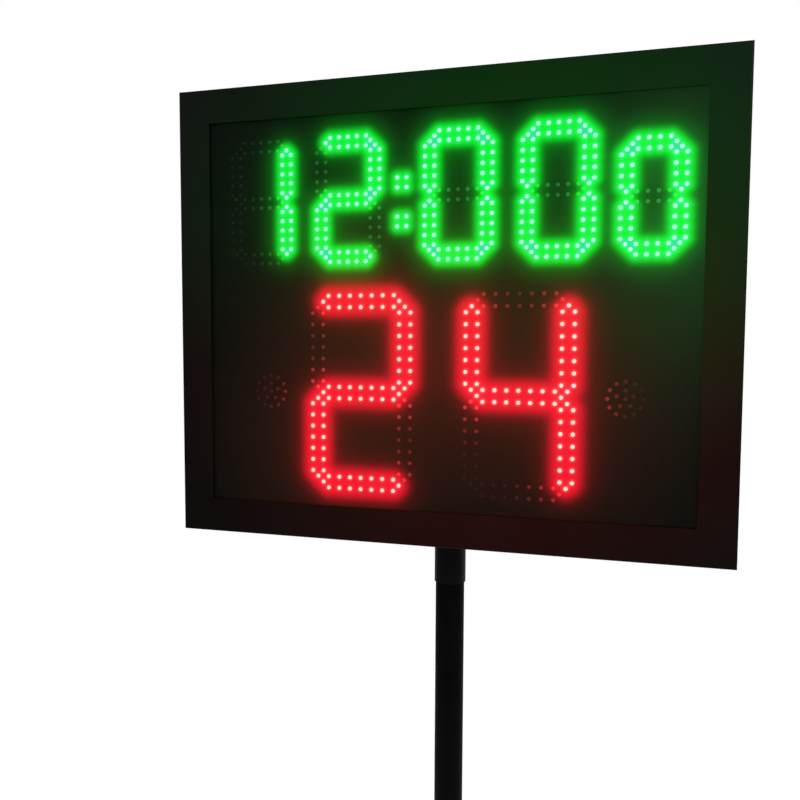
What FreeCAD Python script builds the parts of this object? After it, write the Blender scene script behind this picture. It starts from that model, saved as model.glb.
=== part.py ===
import FreeCAD, Part
import math
import os

# Shot clock on a telescopic floor stand, in millimetres, +Z up.
# The origin is on the floor under the axis of the pole, and the display faces -Y.

# General allowances
OVERRUN = 1.0                  # how far a cut runs past the face that it opens
RUNNING_CLEARANCE = 0.05       # radial, between a turning or sliding piece and its bore
FREE_CLEARANCE = 0.3           # between pieces that move past each other untouched
SCREW_CLEARANCE = 0.2          # radial, round a fixed screw
SCREW_HEAD_CHAMFER = 0.3

# Housing of the display, whose window is as large as the rows of digits need
HOUSING_DEPTH = 55.0
DISPLAY_CENTRE_HEIGHT = 1480.0
POLE_SETBACK = 80.0            # from the front face back to the axis of the pole
SHEET = 2.0
FACE_EDGE_RADIUS = 2.0
RETURN_FLANGE = 14.0
COVER_THICKNESS = 2.0
FRAME_BORDER = 40.0            # of the face round the window
WINDOW_SIDE_MARGIN = 19.15     # from the last green lamps to the side of the window
WINDOW_END_MARGIN = 24.275     # from the top green lamps to the top of the window

# Window pane, its gasket and the strips that hold it
PANE_THICKNESS = 3.0
GASKET_THICKNESS = 1.0
GASKET_INSET = 2.0
STRIP_THICKNESS = 2.0
STRIP_LIP = 12.0               # of a strip over the pane
STRIP_FOOT = 10.0              # of a strip beside the pane
STRIP_WALL_GAP = 7.7           # from a strip to the wall of the housing
MASK_THICKNESS = 1.0           # of the black sheet that hides all but the tips of the lamps
MASK_INSET = 1.0               # of that sheet from the edge of the pane
STRIP_STUD_DIAMETER = 3.0
STRIP_STUD_LONG_COUNT = 4
STRIP_STUD_SHORT_COUNT = 3
STRIP_NUT_FLATS = 5.5
STRIP_NUT_HEIGHT = 2.4
STRIP_STUD_END = 1.0           # of a stud past its nut

# Lamps and their boards
RED_PITCH = 13.24              # between neighbouring lamps of a red digit
GREEN_PITCH = 10.85            # between neighbouring lamps of a green digit
RED_PAIRS = 7                  # pairs of lamps along one bar of a digit
GREEN_PAIRS = 5
TENTHS_PAIRS = 4
RED_BOARD_GAP = 47.84          # between the boards of the two red digits
RED_DROP = 92.0                # of the red row below the housing's centre
ROW_GAP = 23.135               # between the red and the green boards
COLON_OFFSET = 42.7            # of the colon to the left of the housing's centre
COLON_BOARD_GAP = 5.2          # between the boards of the colon and of the digits beside it
GREEN_BOARD_GAP = 16.75        # between the boards of two green digits
TENTHS_BOARD_GAP = 11.175      # between the boards of the last green digit and the tenths
ROUND_BOARD_GAP = 19.32        # between the boards of a red digit and of the round lamp beside it
ROUND_LAMP_RADIUS = 18.6       # to the centres of the outer ring
ROUND_LAMP_INNER_RADIUS = 9.2
ROUND_LAMP_RINGS = ((ROUND_LAMP_RADIUS, 12), (ROUND_LAMP_INNER_RADIUS, 5))
LED_DIAMETER = 5.0
LED_FLANGE_DIAMETER = 5.8
LED_FLANGE_THICKNESS = 1.0
LED_HEIGHT = 8.6
LED_TIP_CLEARANCE = 1.0
BOARD_MARGIN = 8.0
BOARD_THICKNESS = 1.6
BOARD_HOLE_INSET = 4.0
STANDOFF_LENGTH = 8.0
STANDOFF_FLATS = 5.5
BOARD_SCREW_DIAMETER = 3.0
BOARD_SCREW_HEAD_DIAMETER = 5.5
BOARD_SCREW_HEAD_HEIGHT = 2.0

# Inner chassis
CHASSIS_THICKNESS = 1.5
CHASSIS_GAP = 3.0              # from the chassis to the walls of the housing
BRACKET_LEG = 22.0
BRACKET_THICKNESS = 2.0
BRACKET_LENGTH = 40.0
BRACKET_INSET = 115.0          # of each bracket from the top and bottom of the housing
BRACKET_SCREW_DIAMETER = 4.0
BRACKET_SCREW_HEAD_DIAMETER = 7.0
BRACKET_SCREW_HEAD_HEIGHT = 2.4
SPINE_WIDTH = 110.0
SPINE_THICKNESS = 2.0

# Control board, to the left of the spine as seen from the front
CONTROL_WIDTH = 170.0
CONTROL_HEIGHT = 110.0
CONTROL_GAP = 15.0             # from the spine
CONTROL_RISE = 10.0
CONTROL_STANDOFF = 6.0
CHIP_HEIGHT = 2.2
PROCESSOR_SIDE = 14.0
DRIVER_WIDTH = 18.0
DRIVER_DEPTH = 8.0
DRIVER_COUNT = 6
DRIVER_SPACING = 24.0
HEADER_WIDTH = 24.0
HEADER_DEPTH = 8.6
HEADER_HEIGHT = 7.0
RIBBON_WIDTH = 15.2
RIBBON_THICKNESS = 0.9
RIBBON_BEND = 2.0
RIBBON_SLOT_WIDTH = 26.0
RIBBON_SLOT_HEIGHT = 16.0

# Push buttons that stand on the control board and show through the cover
BUTTON_DIAMETER = 9.0
BUTTON_PROUD = 2.5
BUTTON_TRAVEL = 1.5
BUTTON_SPACING = 30.0
BUTTON_DROP = 40.0             # below the middle of the control board
BUTTON_BODY_SIDE = 12.0
BUTTON_BODY_HEIGHT = 6.0
BUTTON_COLLAR_THICKNESS = 1.5

# Radio receiver and its folding aerial
RADIO_WIDTH = 46.0
RADIO_HEIGHT = 28.0
RADIO_THICKNESS = 6.0
RADIO_TO_AERIAL = 82.0         # from the middle of the receiver to the axis of the aerial
RADIO_LIFT = 12.0              # of the receiver above the aerial's socket
AERIAL_INSET = 88.0            # from the right side of the housing
AERIAL_DROP = 147.0            # from the top of the housing
AERIAL_SOCKET_DIAMETER = 6.4
AERIAL_SOCKET_PROUD = 7.0
AERIAL_SOCKET_INSIDE = 8.0
AERIAL_NUT_FLATS = 8.0
AERIAL_NUT_HEIGHT = 2.0
AERIAL_ELBOW_DIAMETER = 11.0
AERIAL_ELBOW_LENGTH = 12.0
AERIAL_TONGUE_WIDTH = 4.4
AERIAL_PIN_DIAMETER = 3.0
AERIAL_WHIP_DIAMETER = 9.0
AERIAL_TIP_DIAMETER = 7.0
AERIAL_WHIP_LENGTH = 98.0
COAX_DIAMETER = 2.6
COAX_BEND = 4.0

# Power supply, to the right of the spine
SUPPLY_WIDTH = 160.0
SUPPLY_HEIGHT = 84.0
SUPPLY_DEPTH = 22.0
SUPPLY_WALL = 1.2
SUPPLY_GAP = 20.0              # from the spine
SUPPLY_DROP = 60.0
SUPPLY_BOARD_INSET = 4.0
SUPPLY_COIL_DIAMETER = 18.0
SUPPLY_COIL_HEIGHT = 11.0
SUPPLY_CAPACITOR_DIAMETER = 14.0
SUPPLY_CAPACITOR_HEIGHT = 14.0
TERMINAL_WIDTH = 10.0
TERMINAL_HEIGHT = 60.0
TERMINAL_DEPTH = 14.0
LEAD_DIAMETER = 6.0
LEAD_BEND = 10.0
LEAD_RISE = 46.0               # of the mains lead above its inlet, before it turns
PLUG_WIDTH = 12.0
PLUG_HEIGHT = 16.0
PLUG_INSET = 4.0               # of the power plug from the edge of the control board
VENT_LENGTH = 56.0
VENT_WIDTH = 4.0
VENT_COUNT = 9
VENT_SPACING = 12.0

# Mains inlet, fuse holder and switch, in one row low on the cover
SOCKET_ROW_RISE = 59.0         # above the bottom of the housing
INLET_TO_SWITCH = 58.0
INLET_FLANGE_WIDTH = 50.0
INLET_FLANGE_HEIGHT = 26.0
INLET_FLANGE_THICKNESS = 2.5
INLET_BODY_WIDTH = 28.0
INLET_BODY_HEIGHT = 20.0
INLET_BODY_DEPTH = 19.0
INLET_MOUTH_WIDTH = 24.4
INLET_MOUTH_HEIGHT = 16.4
INLET_MOUTH_DEPTH = 16.0
INLET_MOUTH_CHAMFER = 4.5
INLET_PIN_WIDTH = 4.0
INLET_PIN_THICKNESS = 2.0
INLET_PIN_SPACING = 14.0
INLET_PIN_RISE = 2.0
INLET_PIN_SETBACK = 2.0
INLET_SCREW_SPACING = 40.0
INLET_SCREW_DIAMETER = 3.0
INLET_SCREW_HEAD_DIAMETER = 5.6
INLET_SCREW_HEAD_HEIGHT = 1.8
SWITCH_INSET = 76.0            # from the right side of the housing
SWITCH_FLANGE_WIDTH = 24.0
SWITCH_FLANGE_HEIGHT = 31.0
SWITCH_FLANGE_THICKNESS = 2.0
SWITCH_BODY_WIDTH = 20.0
SWITCH_BODY_HEIGHT = 27.0
SWITCH_BODY_DEPTH = 17.0
SWITCH_WALL = 1.6
ROCKER_PIVOT_DEPTH = 6.0       # of the rocker's pivot below the front of its flange
ROCKER_PIVOT_DIAMETER = 3.0
ROCKER_PIN_DEPTH = 1.2         # of each end of the rocker's pin in the wall beside it
ROCKER_TILT_DEG = 9.0
ROCKER_DISH = 1.6
ROCKER_CROWN = 7.0             # of the rocker's middle above its pivot
ROCKER_ROOT = 4.0              # of the rocker below its pivot
SWITCH_WELL = 13.0             # of the well that the rocker sits in
FUSE_TO_INLET = 54.0
FUSE_BODY_DIAMETER = 12.0
FUSE_BODY_DEPTH = 22.0
FUSE_FLANGE_DIAMETER = 18.0
FUSE_FLANGE_THICKNESS = 2.0
FUSE_CAP_DIAMETER = 13.0
FUSE_CAP_PROUD = 9.0
FUSE_CAP_STEM_DIAMETER = 7.0
FUSE_CAP_STEM_LENGTH = 4.0
FUSE_CAP_SLOT_WIDTH = 1.6
FUSE_CAP_SLOT_DEPTH = 1.5
FUSE_LINK_DIAMETER = 5.2
FUSE_LINK_LENGTH = 20.0
FUSE_WALL = 2.0
DATA_GAP = 72.0                # from the spine
DATA_FLANGE_WIDTH = 26.0
DATA_FLANGE_HEIGHT = 31.0
DATA_FLANGE_THICKNESS = 2.0
DATA_BODY_WIDTH = 18.0
DATA_BODY_HEIGHT = 18.0
DATA_BODY_DEPTH = 18.0
DATA_MOUTH_WIDTH = 12.0
DATA_MOUTH_HEIGHT = 9.0
DATA_MOUTH_DEPTH = 15.0
DATA_SCREW_SPACING = 24.0

# Horn behind its grille
HORN_INSET = 98.0              # from the left side of the housing
HORN_RISE = 97.0               # above the bottom of the housing
HORN_DIAMETER = 78.0
HORN_DEPTH = 18.0
HORN_WALL = 2.0
HORN_CONE_DIAMETER = 34.0
HORN_GRILLE_DIAMETER = 96.0
HORN_GRILLE_THICKNESS = 1.5
HORN_FLANGE_THICKNESS = 1.5
HORN_CONE_HEIGHT = 8.0
HORN_HOLE_DIAMETER = 5.0
HORN_RING_COUNT = 4
HORN_RING_SPACING = 8.5
HORN_HOLE_COUNT = 6            # more in each ring than in the one inside it
HORN_SCREW_COUNT = 4

# Threaded inserts for hanging the display on a wall
WALL_INSET_X = 40.0            # of each insert from the sides of the housing
WALL_INSET_Z = 65.0            # and from its top and bottom
WALL_THREAD_BORE = 5.0
WALL_INSERT_DIAMETER = 9.0
WALL_INSERT_FLANGE_DIAMETER = 13.0
WALL_INSERT_FLANGE_THICKNESS = 1.0
WALL_INSERT_LENGTH = 12.0

# Screws of the rear cover
COVER_SCREW_DIAMETER = 4.0
COVER_SCREW_HEAD_DIAMETER = 7.5
COVER_SCREW_HEAD_HEIGHT = 2.4
COVER_SCREW_LENGTH = 10.0
COVER_SCREW_LONG_COUNT = 5
COVER_SCREW_SHORT_COUNT = 3

# Pole, and the sleeve on the back of the housing that sits on it
POLE_DIAMETER = 35.0
POLE_WALL = 1.5
POLE_LENGTH = 1024.7
SLEEVE_DIAMETER = 38.0
SLEEVE_BELOW_HOUSING = 60.0
SLEEVE_LENGTH = 330.0
SLEEVE_CAP_THICKNESS = 6.0
SLEEVE_CAP_LIP = 6.0
POLE_PLUG_LENGTH = 12.0
SADDLE_WIDTH = 110.0
SADDLE_HEIGHT = 46.0
SADDLE_THICKNESS = 4.0
SADDLE_RIB_THICKNESS = 5.0
SADDLE_RIB_SPREAD = 30.0
SADDLE_LOW_RISE = 120.0        # of the lower saddle above the sleeve's lower end
SADDLE_TOP_DROP = 50.0         # of the upper saddle below the sleeve's upper end
SADDLE_BOLT_SPREAD = 84.0
SADDLE_BOLT_DIAMETER = 6.0
SADDLE_BOLT_FLATS = 10.0
SADDLE_BOLT_HEAD_HEIGHT = 4.0
SADDLE_NUT_HEIGHT = 5.0

# Clamping knobs
KNOB_DIAMETER = 50.0
KNOB_THICKNESS = 16.0
KNOB_LOBE_COUNT = 6
KNOB_LOBE_DIAMETER = 15.0
KNOB_HUB_DIAMETER = 24.0
KNOB_HUB_LENGTH = 6.0
KNOB_EDGE_RADIUS = 2.0
KNOB_SCREW_DIAMETER = 8.0
KNOB_SCREW_GRIP = 10.0         # of the screw inside its knob
HEAD_KNOB_RISE = 205.0         # of the upper knob above the sleeve's lower end
HEAD_BOSS_DIAMETER = 20.0
HEAD_BOSS_LENGTH = 11.0

# Lower tube with its collar
TUBE_DIAMETER = 42.0
TUBE_WALL = 2.0
TUBE_LENGTH = 780.0
BUSH_LENGTH = 60.0
BUSH_FLANGE = 2.0
COLLAR_DIAMETER = 58.0
COLLAR_BELOW = 30.0            # of the collar below the top of the tube
COLLAR_ABOVE = 26.0
COLLAR_EDGE_RADIUS = 3.0
COLLAR_BOSS_REACH = 38.0       # from the axis of the pole
POLE_SHOE_LENGTH = 50.0
POLE_SHOE_FLANGE = 5.0

# Base
BASE_SIZE = 450.0
BASE_THICKNESS = 8.0
BASE_CORNER_RADIUS = 40.0
FOOT_DIAMETER = 40.0
FOOT_HEIGHT = 12.0
FOOT_INSET = 38.0
FOOT_SCREW_DIAMETER = 6.0
FOOT_SCREW_HEAD_DIAMETER = 11.0
FOOT_SCREW_HEAD_HEIGHT = 3.3
FOOT_SCREW_DEPTH = 6.0         # of the screw in the foot
HUB_FLANGE_DIAMETER = 140.0
HUB_FLANGE_THICKNESS = 10.0
HUB_DIAMETER = 60.0
HUB_HEIGHT = 80.0
HUB_FILLET = 8.0
HUB_BOLT_CIRCLE = 108.0
HUB_BOLT_COUNT = 4
HUB_BOLT_DIAMETER = 8.0
HUB_BOLT_FLATS = 13.0
HUB_BOLT_HEAD_HEIGHT = 5.3
HUB_GRUB_DIAMETER = 8.0
HUB_GRUB_COUNT = 2
HUB_GRUB_RISE = 50.0

# Half sizes of the digits between their outer lamps, and of their boards
GREEN_HALF_WIDTH = (GREEN_PAIRS + 2) * GREEN_PITCH / 2
GREEN_HALF_HEIGHT = (2 * GREEN_PAIRS + 3) * GREEN_PITCH / 2
TENTHS_HALF_WIDTH = (TENTHS_PAIRS + 2) * GREEN_PITCH / 2
TENTHS_HALF_HEIGHT = (2 * TENTHS_PAIRS + 3) * GREEN_PITCH / 2
RED_HALF_WIDTH = (RED_PAIRS + 2) * RED_PITCH / 2
RED_HALF_HEIGHT = (2 * RED_PAIRS + 3) * RED_PITCH / 2
COLON_HALF_WIDTH = GREEN_PITCH / 2
COLON_RISE = 2 * GREEN_PITCH   # of each group of the colon from its middle
GREEN_SPACING = 2 * (GREEN_HALF_WIDTH + BOARD_MARGIN) + GREEN_BOARD_GAP
COLON_TO_DIGIT = COLON_HALF_WIDTH + GREEN_HALF_WIDTH + 2 * BOARD_MARGIN + COLON_BOARD_GAP
TENTHS_SPACING = GREEN_HALF_WIDTH + TENTHS_HALF_WIDTH + 2 * BOARD_MARGIN + TENTHS_BOARD_GAP
RED_SPACING = 2 * (RED_HALF_WIDTH + BOARD_MARGIN) + RED_BOARD_GAP
GREEN_RISE = ROW_GAP - RED_DROP + RED_HALF_HEIGHT + GREEN_HALF_HEIGHT + 2 * BOARD_MARGIN

# Places of the digits across the display
COLON_X = -COLON_OFFSET
MINUTE_TENS_X = COLON_X - COLON_TO_DIGIT - GREEN_SPACING
MINUTE_UNITS_X = COLON_X - COLON_TO_DIGIT
SECOND_TENS_X = COLON_X + COLON_TO_DIGIT
SECOND_UNITS_X = COLON_X + COLON_TO_DIGIT + GREEN_SPACING
TENTHS_X = SECOND_UNITS_X + TENTHS_SPACING
RED_X = RED_SPACING / 2
ROUND_LAMP_X = RED_X + RED_HALF_WIDTH + ROUND_LAMP_RADIUS + 2 * BOARD_MARGIN + ROUND_BOARD_GAP

# Window, housing and pane round the rows
WINDOW_WIDTH = 2 * (TENTHS_X + TENTHS_HALF_WIDTH + WINDOW_SIDE_MARGIN)
WINDOW_HEIGHT = 2 * (GREEN_RISE + GREEN_HALF_HEIGHT + WINDOW_END_MARGIN)
HOUSING_WIDTH = WINDOW_WIDTH + 2 * FRAME_BORDER
HOUSING_HEIGHT = WINDOW_HEIGHT + 2 * FRAME_BORDER
PANE_OVERLAP = FRAME_BORDER - SHEET - STRIP_WALL_GAP - STRIP_FOOT - FREE_CLEARANCE

# Planes through the display from front to back
FACE_FRONT = -POLE_SETBACK
FACE_BACK = FACE_FRONT + SHEET
PANE_FRONT = FACE_BACK + GASKET_THICKNESS
PANE_BACK = PANE_FRONT + PANE_THICKNESS
STRIP_BACK = PANE_BACK + STRIP_THICKNESS
LED_TIP = PANE_BACK + LED_TIP_CLEARANCE
BOARD_FRONT = LED_TIP + LED_HEIGHT
BOARD_BACK = BOARD_FRONT + BOARD_THICKNESS
CHASSIS_FRONT = BOARD_BACK + STANDOFF_LENGTH
CHASSIS_BACK = CHASSIS_FRONT + CHASSIS_THICKNESS
COVER_BACK = FACE_FRONT + HOUSING_DEPTH
COVER_FRONT = COVER_BACK - COVER_THICKNESS
FLANGE_FRONT = COVER_FRONT - SHEET
CONTROL_FRONT = CHASSIS_BACK + CONTROL_STANDOFF
CONTROL_BACK = CONTROL_FRONT + BOARD_THICKNESS

# Sides and heights of the display
HALF_WIDTH = HOUSING_WIDTH / 2
HALF_HEIGHT = HOUSING_HEIGHT / 2
MIDDLE = DISPLAY_CENTRE_HEIGHT
INNER_HALF_WIDTH = HALF_WIDTH - SHEET
INNER_HALF_HEIGHT = HALF_HEIGHT - SHEET
PANE_HALF_WIDTH = WINDOW_WIDTH / 2 + PANE_OVERLAP
PANE_HALF_HEIGHT = WINDOW_HEIGHT / 2 + PANE_OVERLAP
GREEN_LEVEL = MIDDLE + GREEN_RISE
COLON_LEVEL = GREEN_LEVEL - GREEN_PITCH / 2
TENTHS_LEVEL = GREEN_LEVEL - GREEN_HALF_HEIGHT + TENTHS_HALF_HEIGHT
RED_LEVEL = MIDDLE - RED_DROP

# Places of the fittings on the rear cover, and of what stands behind it
SOCKET_ROW = MIDDLE - HALF_HEIGHT + SOCKET_ROW_RISE
SWITCH_OFFSET = HALF_WIDTH - SWITCH_INSET
INLET_OFFSET = SWITCH_OFFSET - INLET_TO_SWITCH
FUSE_OFFSET = INLET_OFFSET - FUSE_TO_INLET
DATA_OFFSET = SPINE_WIDTH / 2 + DATA_GAP + DATA_FLANGE_WIDTH / 2
HORN_X = HORN_INSET - HALF_WIDTH
HORN_LEVEL = MIDDLE - HALF_HEIGHT + HORN_RISE
AERIAL_OFFSET = HALF_WIDTH - AERIAL_INSET
AERIAL_LEVEL = MIDDLE + HALF_HEIGHT - AERIAL_DROP
RADIO_OFFSET = AERIAL_OFFSET - RADIO_TO_AERIAL
RADIO_LEVEL = AERIAL_LEVEL + RADIO_LIFT
CONTROL_OFFSET = SPINE_WIDTH / 2 + CONTROL_GAP + CONTROL_WIDTH / 2
SUPPLY_OFFSET = SPINE_WIDTH / 2 + SUPPLY_GAP + SUPPLY_WIDTH / 2

# Radii and levels of the stand
POLE_RADIUS = POLE_DIAMETER / 2
SLEEVE_RADIUS = SLEEVE_DIAMETER / 2
SLEEVE_BORE = POLE_RADIUS + RUNNING_CLEARANCE
SLEEVE_BOTTOM = MIDDLE - HALF_HEIGHT - SLEEVE_BELOW_HOUSING
SLEEVE_TOP = SLEEVE_BOTTOM + SLEEVE_LENGTH
POLE_TOP = SLEEVE_TOP - SLEEVE_CAP_LIP - FREE_CLEARANCE
POLE_BOTTOM = POLE_TOP - POLE_LENGTH
TUBE_RADIUS = TUBE_DIAMETER / 2
TUBE_BORE = TUBE_RADIUS - TUBE_WALL
BASE_TOP = FOOT_HEIGHT + BASE_THICKNESS
TUBE_TOP = BASE_TOP + TUBE_LENGTH

V = FreeCAD.Vector
X_AXIS = V(1, 0, 0)
Y_AXIS = V(0, 1, 0)
Z_AXIS = V(0, 0, 1)
SIDES = (-1, 1)


def box(x0, x1, y0, y1, z0, z1):
    """A block between two corners."""
    return Part.makeBox(x1 - x0, y1 - y0, z1 - z0, V(x0, y0, z0))


def slab(x, z, width, height, y0, y1):
    """A block centred on x and z that reaches from y0 to y1."""
    return box(x - width / 2, x + width / 2, y0, y1, z - height / 2, z + height / 2)


def rod_y(x, z, diameter, y0, y1):
    """A round bar along Y."""
    return Part.makeCylinder(diameter / 2, y1 - y0, V(x, y0, z), Y_AXIS)


def rod_z(x, y, diameter, z0, z1):
    """A round bar along Z."""
    return Part.makeCylinder(diameter / 2, z1 - z0, V(x, y, z0), Z_AXIS)


def rod_x(y, z, diameter, x0, x1):
    """A round bar along X."""
    return Part.makeCylinder(diameter / 2, x1 - x0, V(x0, y, z), X_AXIS)


def bore_y(x, z, diameter, y0, y1):
    """A round cut along Y that opens both faces."""
    return rod_y(x, z, diameter, y0 - OVERRUN, y1 + OVERRUN)


def bore_z(x, y, diameter, z0, z1):
    """A round cut along Z that opens both faces."""
    return rod_z(x, y, diameter, z0 - OVERRUN, z1 + OVERRUN)


def hexagon(centre, direction, flats, length):
    """A six-sided bar that starts at centre and runs along a direction."""
    circle = Part.Circle(centre, direction, flats / math.sqrt(3))
    corners = [circle.value(math.radians(60 * step)) for step in range(7)]
    return Part.Face(Part.makePolygon(corners)).extrude(direction * length)


def one_solid(shape):
    """The single solid of a fused or cut shape, with seams between flush faces removed."""
    return shape.removeSplitter().Solids[0]


def screw_y(x, z, diameter, head_diameter, head_height, seat, tip):
    """A screw whose head sits behind its seat and whose shank runs forwards to its tip."""
    head = rod_y(x, z, head_diameter, seat, seat + head_height)
    far_edge = [edge for edge in head.Edges if edge.CenterOfMass.y > seat + head_height - OVERRUN / 2]
    head = head.makeChamfer(SCREW_HEAD_CHAMFER, far_edge)
    return one_solid(head.fuse(rod_y(x, z, diameter, tip, seat)))


def nut_y(x, z, diameter, flats, y0, y1):
    """A hexagon nut between two planes."""
    bore = bore_y(x, z, diameter + 2 * RUNNING_CLEARANCE, y0, y1)
    return hexagon(V(x, y0, z), Y_AXIS, flats, y1 - y0).cut(bore)


def spread(count, span):
    """Places of evenly spaced pieces, centred on zero."""
    return [span * (step / (count - 1) - 0.5) for step in range(count)]


def corners_of(half_x, half_z):
    """The four corners of a rectangle centred on zero."""
    return [(side * half_x, level * half_z) for side in SIDES for level in SIDES]


def bent_lead(points, diameter, bend):
    """A round cable along straight runs that tangent arcs of one radius join."""
    edges = []
    start = points[0]
    for before, corner, after in zip(points, points[1:], points[2:]):
        towards = (corner - before).normalize()
        onwards = (after - corner).normalize()
        turn = math.acos(max(-1, min(1, towards.dot(onwards))))
        trim = bend * math.tan(turn / 2)
        enter = corner - towards * trim
        leave = corner + onwards * trim
        inward = (onwards - towards).normalize()
        centre = corner + inward * (bend / math.cos(turn / 2))
        halfway = centre - inward * bend
        edges.append(Part.LineSegment(start, enter).toShape())
        edges.append(Part.Arc(enter, halfway, leave).toShape())
        start = leave
    edges.append(Part.LineSegment(start, points[-1]).toShape())
    path = Part.Wire(edges)
    heading = points[1] - points[0]
    section = Part.Wire([Part.makeCircle(diameter / 2, points[0], heading)])
    return path.makePipeShell([section], True, False)


# Lattice of one digit: every bar is two rows of lamps with a single lamp at each end.
# Places are counted in half pitches from the middle of the digit.
def bar_across(pairs, level):
    """Lamps of a bar that lies across the digit."""
    reach = pairs - 1
    places = [(step, level + row) for step in range(-reach, reach + 1, 2) for row in SIDES]
    return places + [(side * (reach + 1), level) for side in SIDES]


def bar_upright(pairs, side, top):
    """Lamps of an upright bar, from its single top lamp down."""
    column = side * (pairs + 1)
    places = [(column + row, top - 1 - 2 * step) for step in range(pairs) for row in SIDES]
    return places + [(column, top), (column, top - 2 * pairs)]


def digit_places(pairs):
    """All the lamps of the seven bars of a digit, in half pitches."""
    top = 2 * pairs + 3
    places = []
    for level in (top - 1, 0, 1 - top):
        places += bar_across(pairs, level)
    for side in SIDES:
        places += bar_upright(pairs, side, top - 2)
        places += bar_upright(pairs, side, -1)
    return places


def led(x, z):
    """One round lamp that points forwards, seated on its board."""
    body_radius = LED_DIAMETER / 2
    dome_base = LED_TIP + body_radius
    flange_front = BOARD_FRONT - LED_FLANGE_THICKNESS
    outline = [
        V(x, BOARD_FRONT, z),
        V(x + LED_FLANGE_DIAMETER / 2, BOARD_FRONT, z),
        V(x + LED_FLANGE_DIAMETER / 2, flange_front, z),
        V(x + body_radius, flange_front, z),
        V(x + body_radius, dome_base, z),
    ]
    edges = [Part.LineSegment(a, b).toShape() for a, b in zip(outline, outline[1:])]
    shoulder = body_radius * math.sqrt(0.5)
    middle = V(x + shoulder, dome_base - shoulder, z)
    tip = V(x, LED_TIP, z)
    edges.append(Part.Arc(outline[-1], middle, tip).toShape())
    edges.append(Part.LineSegment(tip, outline[0]).toShape())
    return Part.Face(Part.Wire(edges)).revolve(V(x, BOARD_FRONT, z), Y_AXIS, 360).Solids[0]


def board(x, z, half_width, half_height, holes):
    """A circuit board with its screw holes."""
    plate = slab(x, z, 2 * half_width, 2 * half_height, BOARD_FRONT, BOARD_BACK)
    bore = BOARD_SCREW_DIAMETER + 2 * SCREW_CLEARANCE
    for hole_x, hole_z in holes:
        plate = plate.cut(bore_y(hole_x, hole_z, bore, BOARD_FRONT, BOARD_BACK))
    return plate


def digit_board(x, z, pairs, pitch):
    """The board of one digit and the places of its four screws."""
    half_width = (pairs + 2) * pitch / 2 + BOARD_MARGIN
    half_height = (2 * pairs + 3) * pitch / 2 + BOARD_MARGIN
    inset_x = half_width - BOARD_HOLE_INSET
    inset_z = half_height - BOARD_HOLE_INSET
    holes = [(x + dx, z + dz) for dx, dz in corners_of(inset_x, inset_z)]
    return board(x, z, half_width, half_height, holes), holes


def round_lamp_places(x):
    """Places of the lamps of one round lamp, ring by ring, with the first of each ring at its top."""
    places = [(x, RED_LEVEL)]
    for radius, count in ROUND_LAMP_RINGS:
        for step in range(count):
            angle = math.radians(90 + 360 * step / count)
            places.append((x + radius * math.cos(angle), RED_LEVEL + radius * math.sin(angle)))
    return places


def colon_places():
    """Places of the lamps of the two groups of the colon."""
    return [(COLON_X + u, COLON_LEVEL + side * COLON_RISE + v) for side in SIDES
            for u, v in corners_of(COLON_HALF_WIDTH, COLON_HALF_WIDTH)]


# Middle, pairs of lamps and pitch of each digit
DIGITS = (
    (-RED_X, RED_LEVEL, RED_PAIRS, RED_PITCH),
    (RED_X, RED_LEVEL, RED_PAIRS, RED_PITCH),
    (MINUTE_TENS_X, GREEN_LEVEL, GREEN_PAIRS, GREEN_PITCH),
    (MINUTE_UNITS_X, GREEN_LEVEL, GREEN_PAIRS, GREEN_PITCH),
    (SECOND_TENS_X, GREEN_LEVEL, GREEN_PAIRS, GREEN_PITCH),
    (SECOND_UNITS_X, GREEN_LEVEL, GREEN_PAIRS, GREEN_PITCH),
    (TENTHS_X, TENTHS_LEVEL, TENTHS_PAIRS, GREEN_PITCH),
)


def lamp_places():
    """Places of all the lamps, by the pitch of the digits that they belong to."""
    places = {RED_PITCH: [], GREEN_PITCH: colon_places()}
    for x, z, pairs, pitch in DIGITS:
        places[pitch] += [(x + u * pitch / 2, z + v * pitch / 2) for u, v in digit_places(pairs)]
    for side in SIDES:
        places[RED_PITCH] += round_lamp_places(side * ROUND_LAMP_X)
    return places


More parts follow.
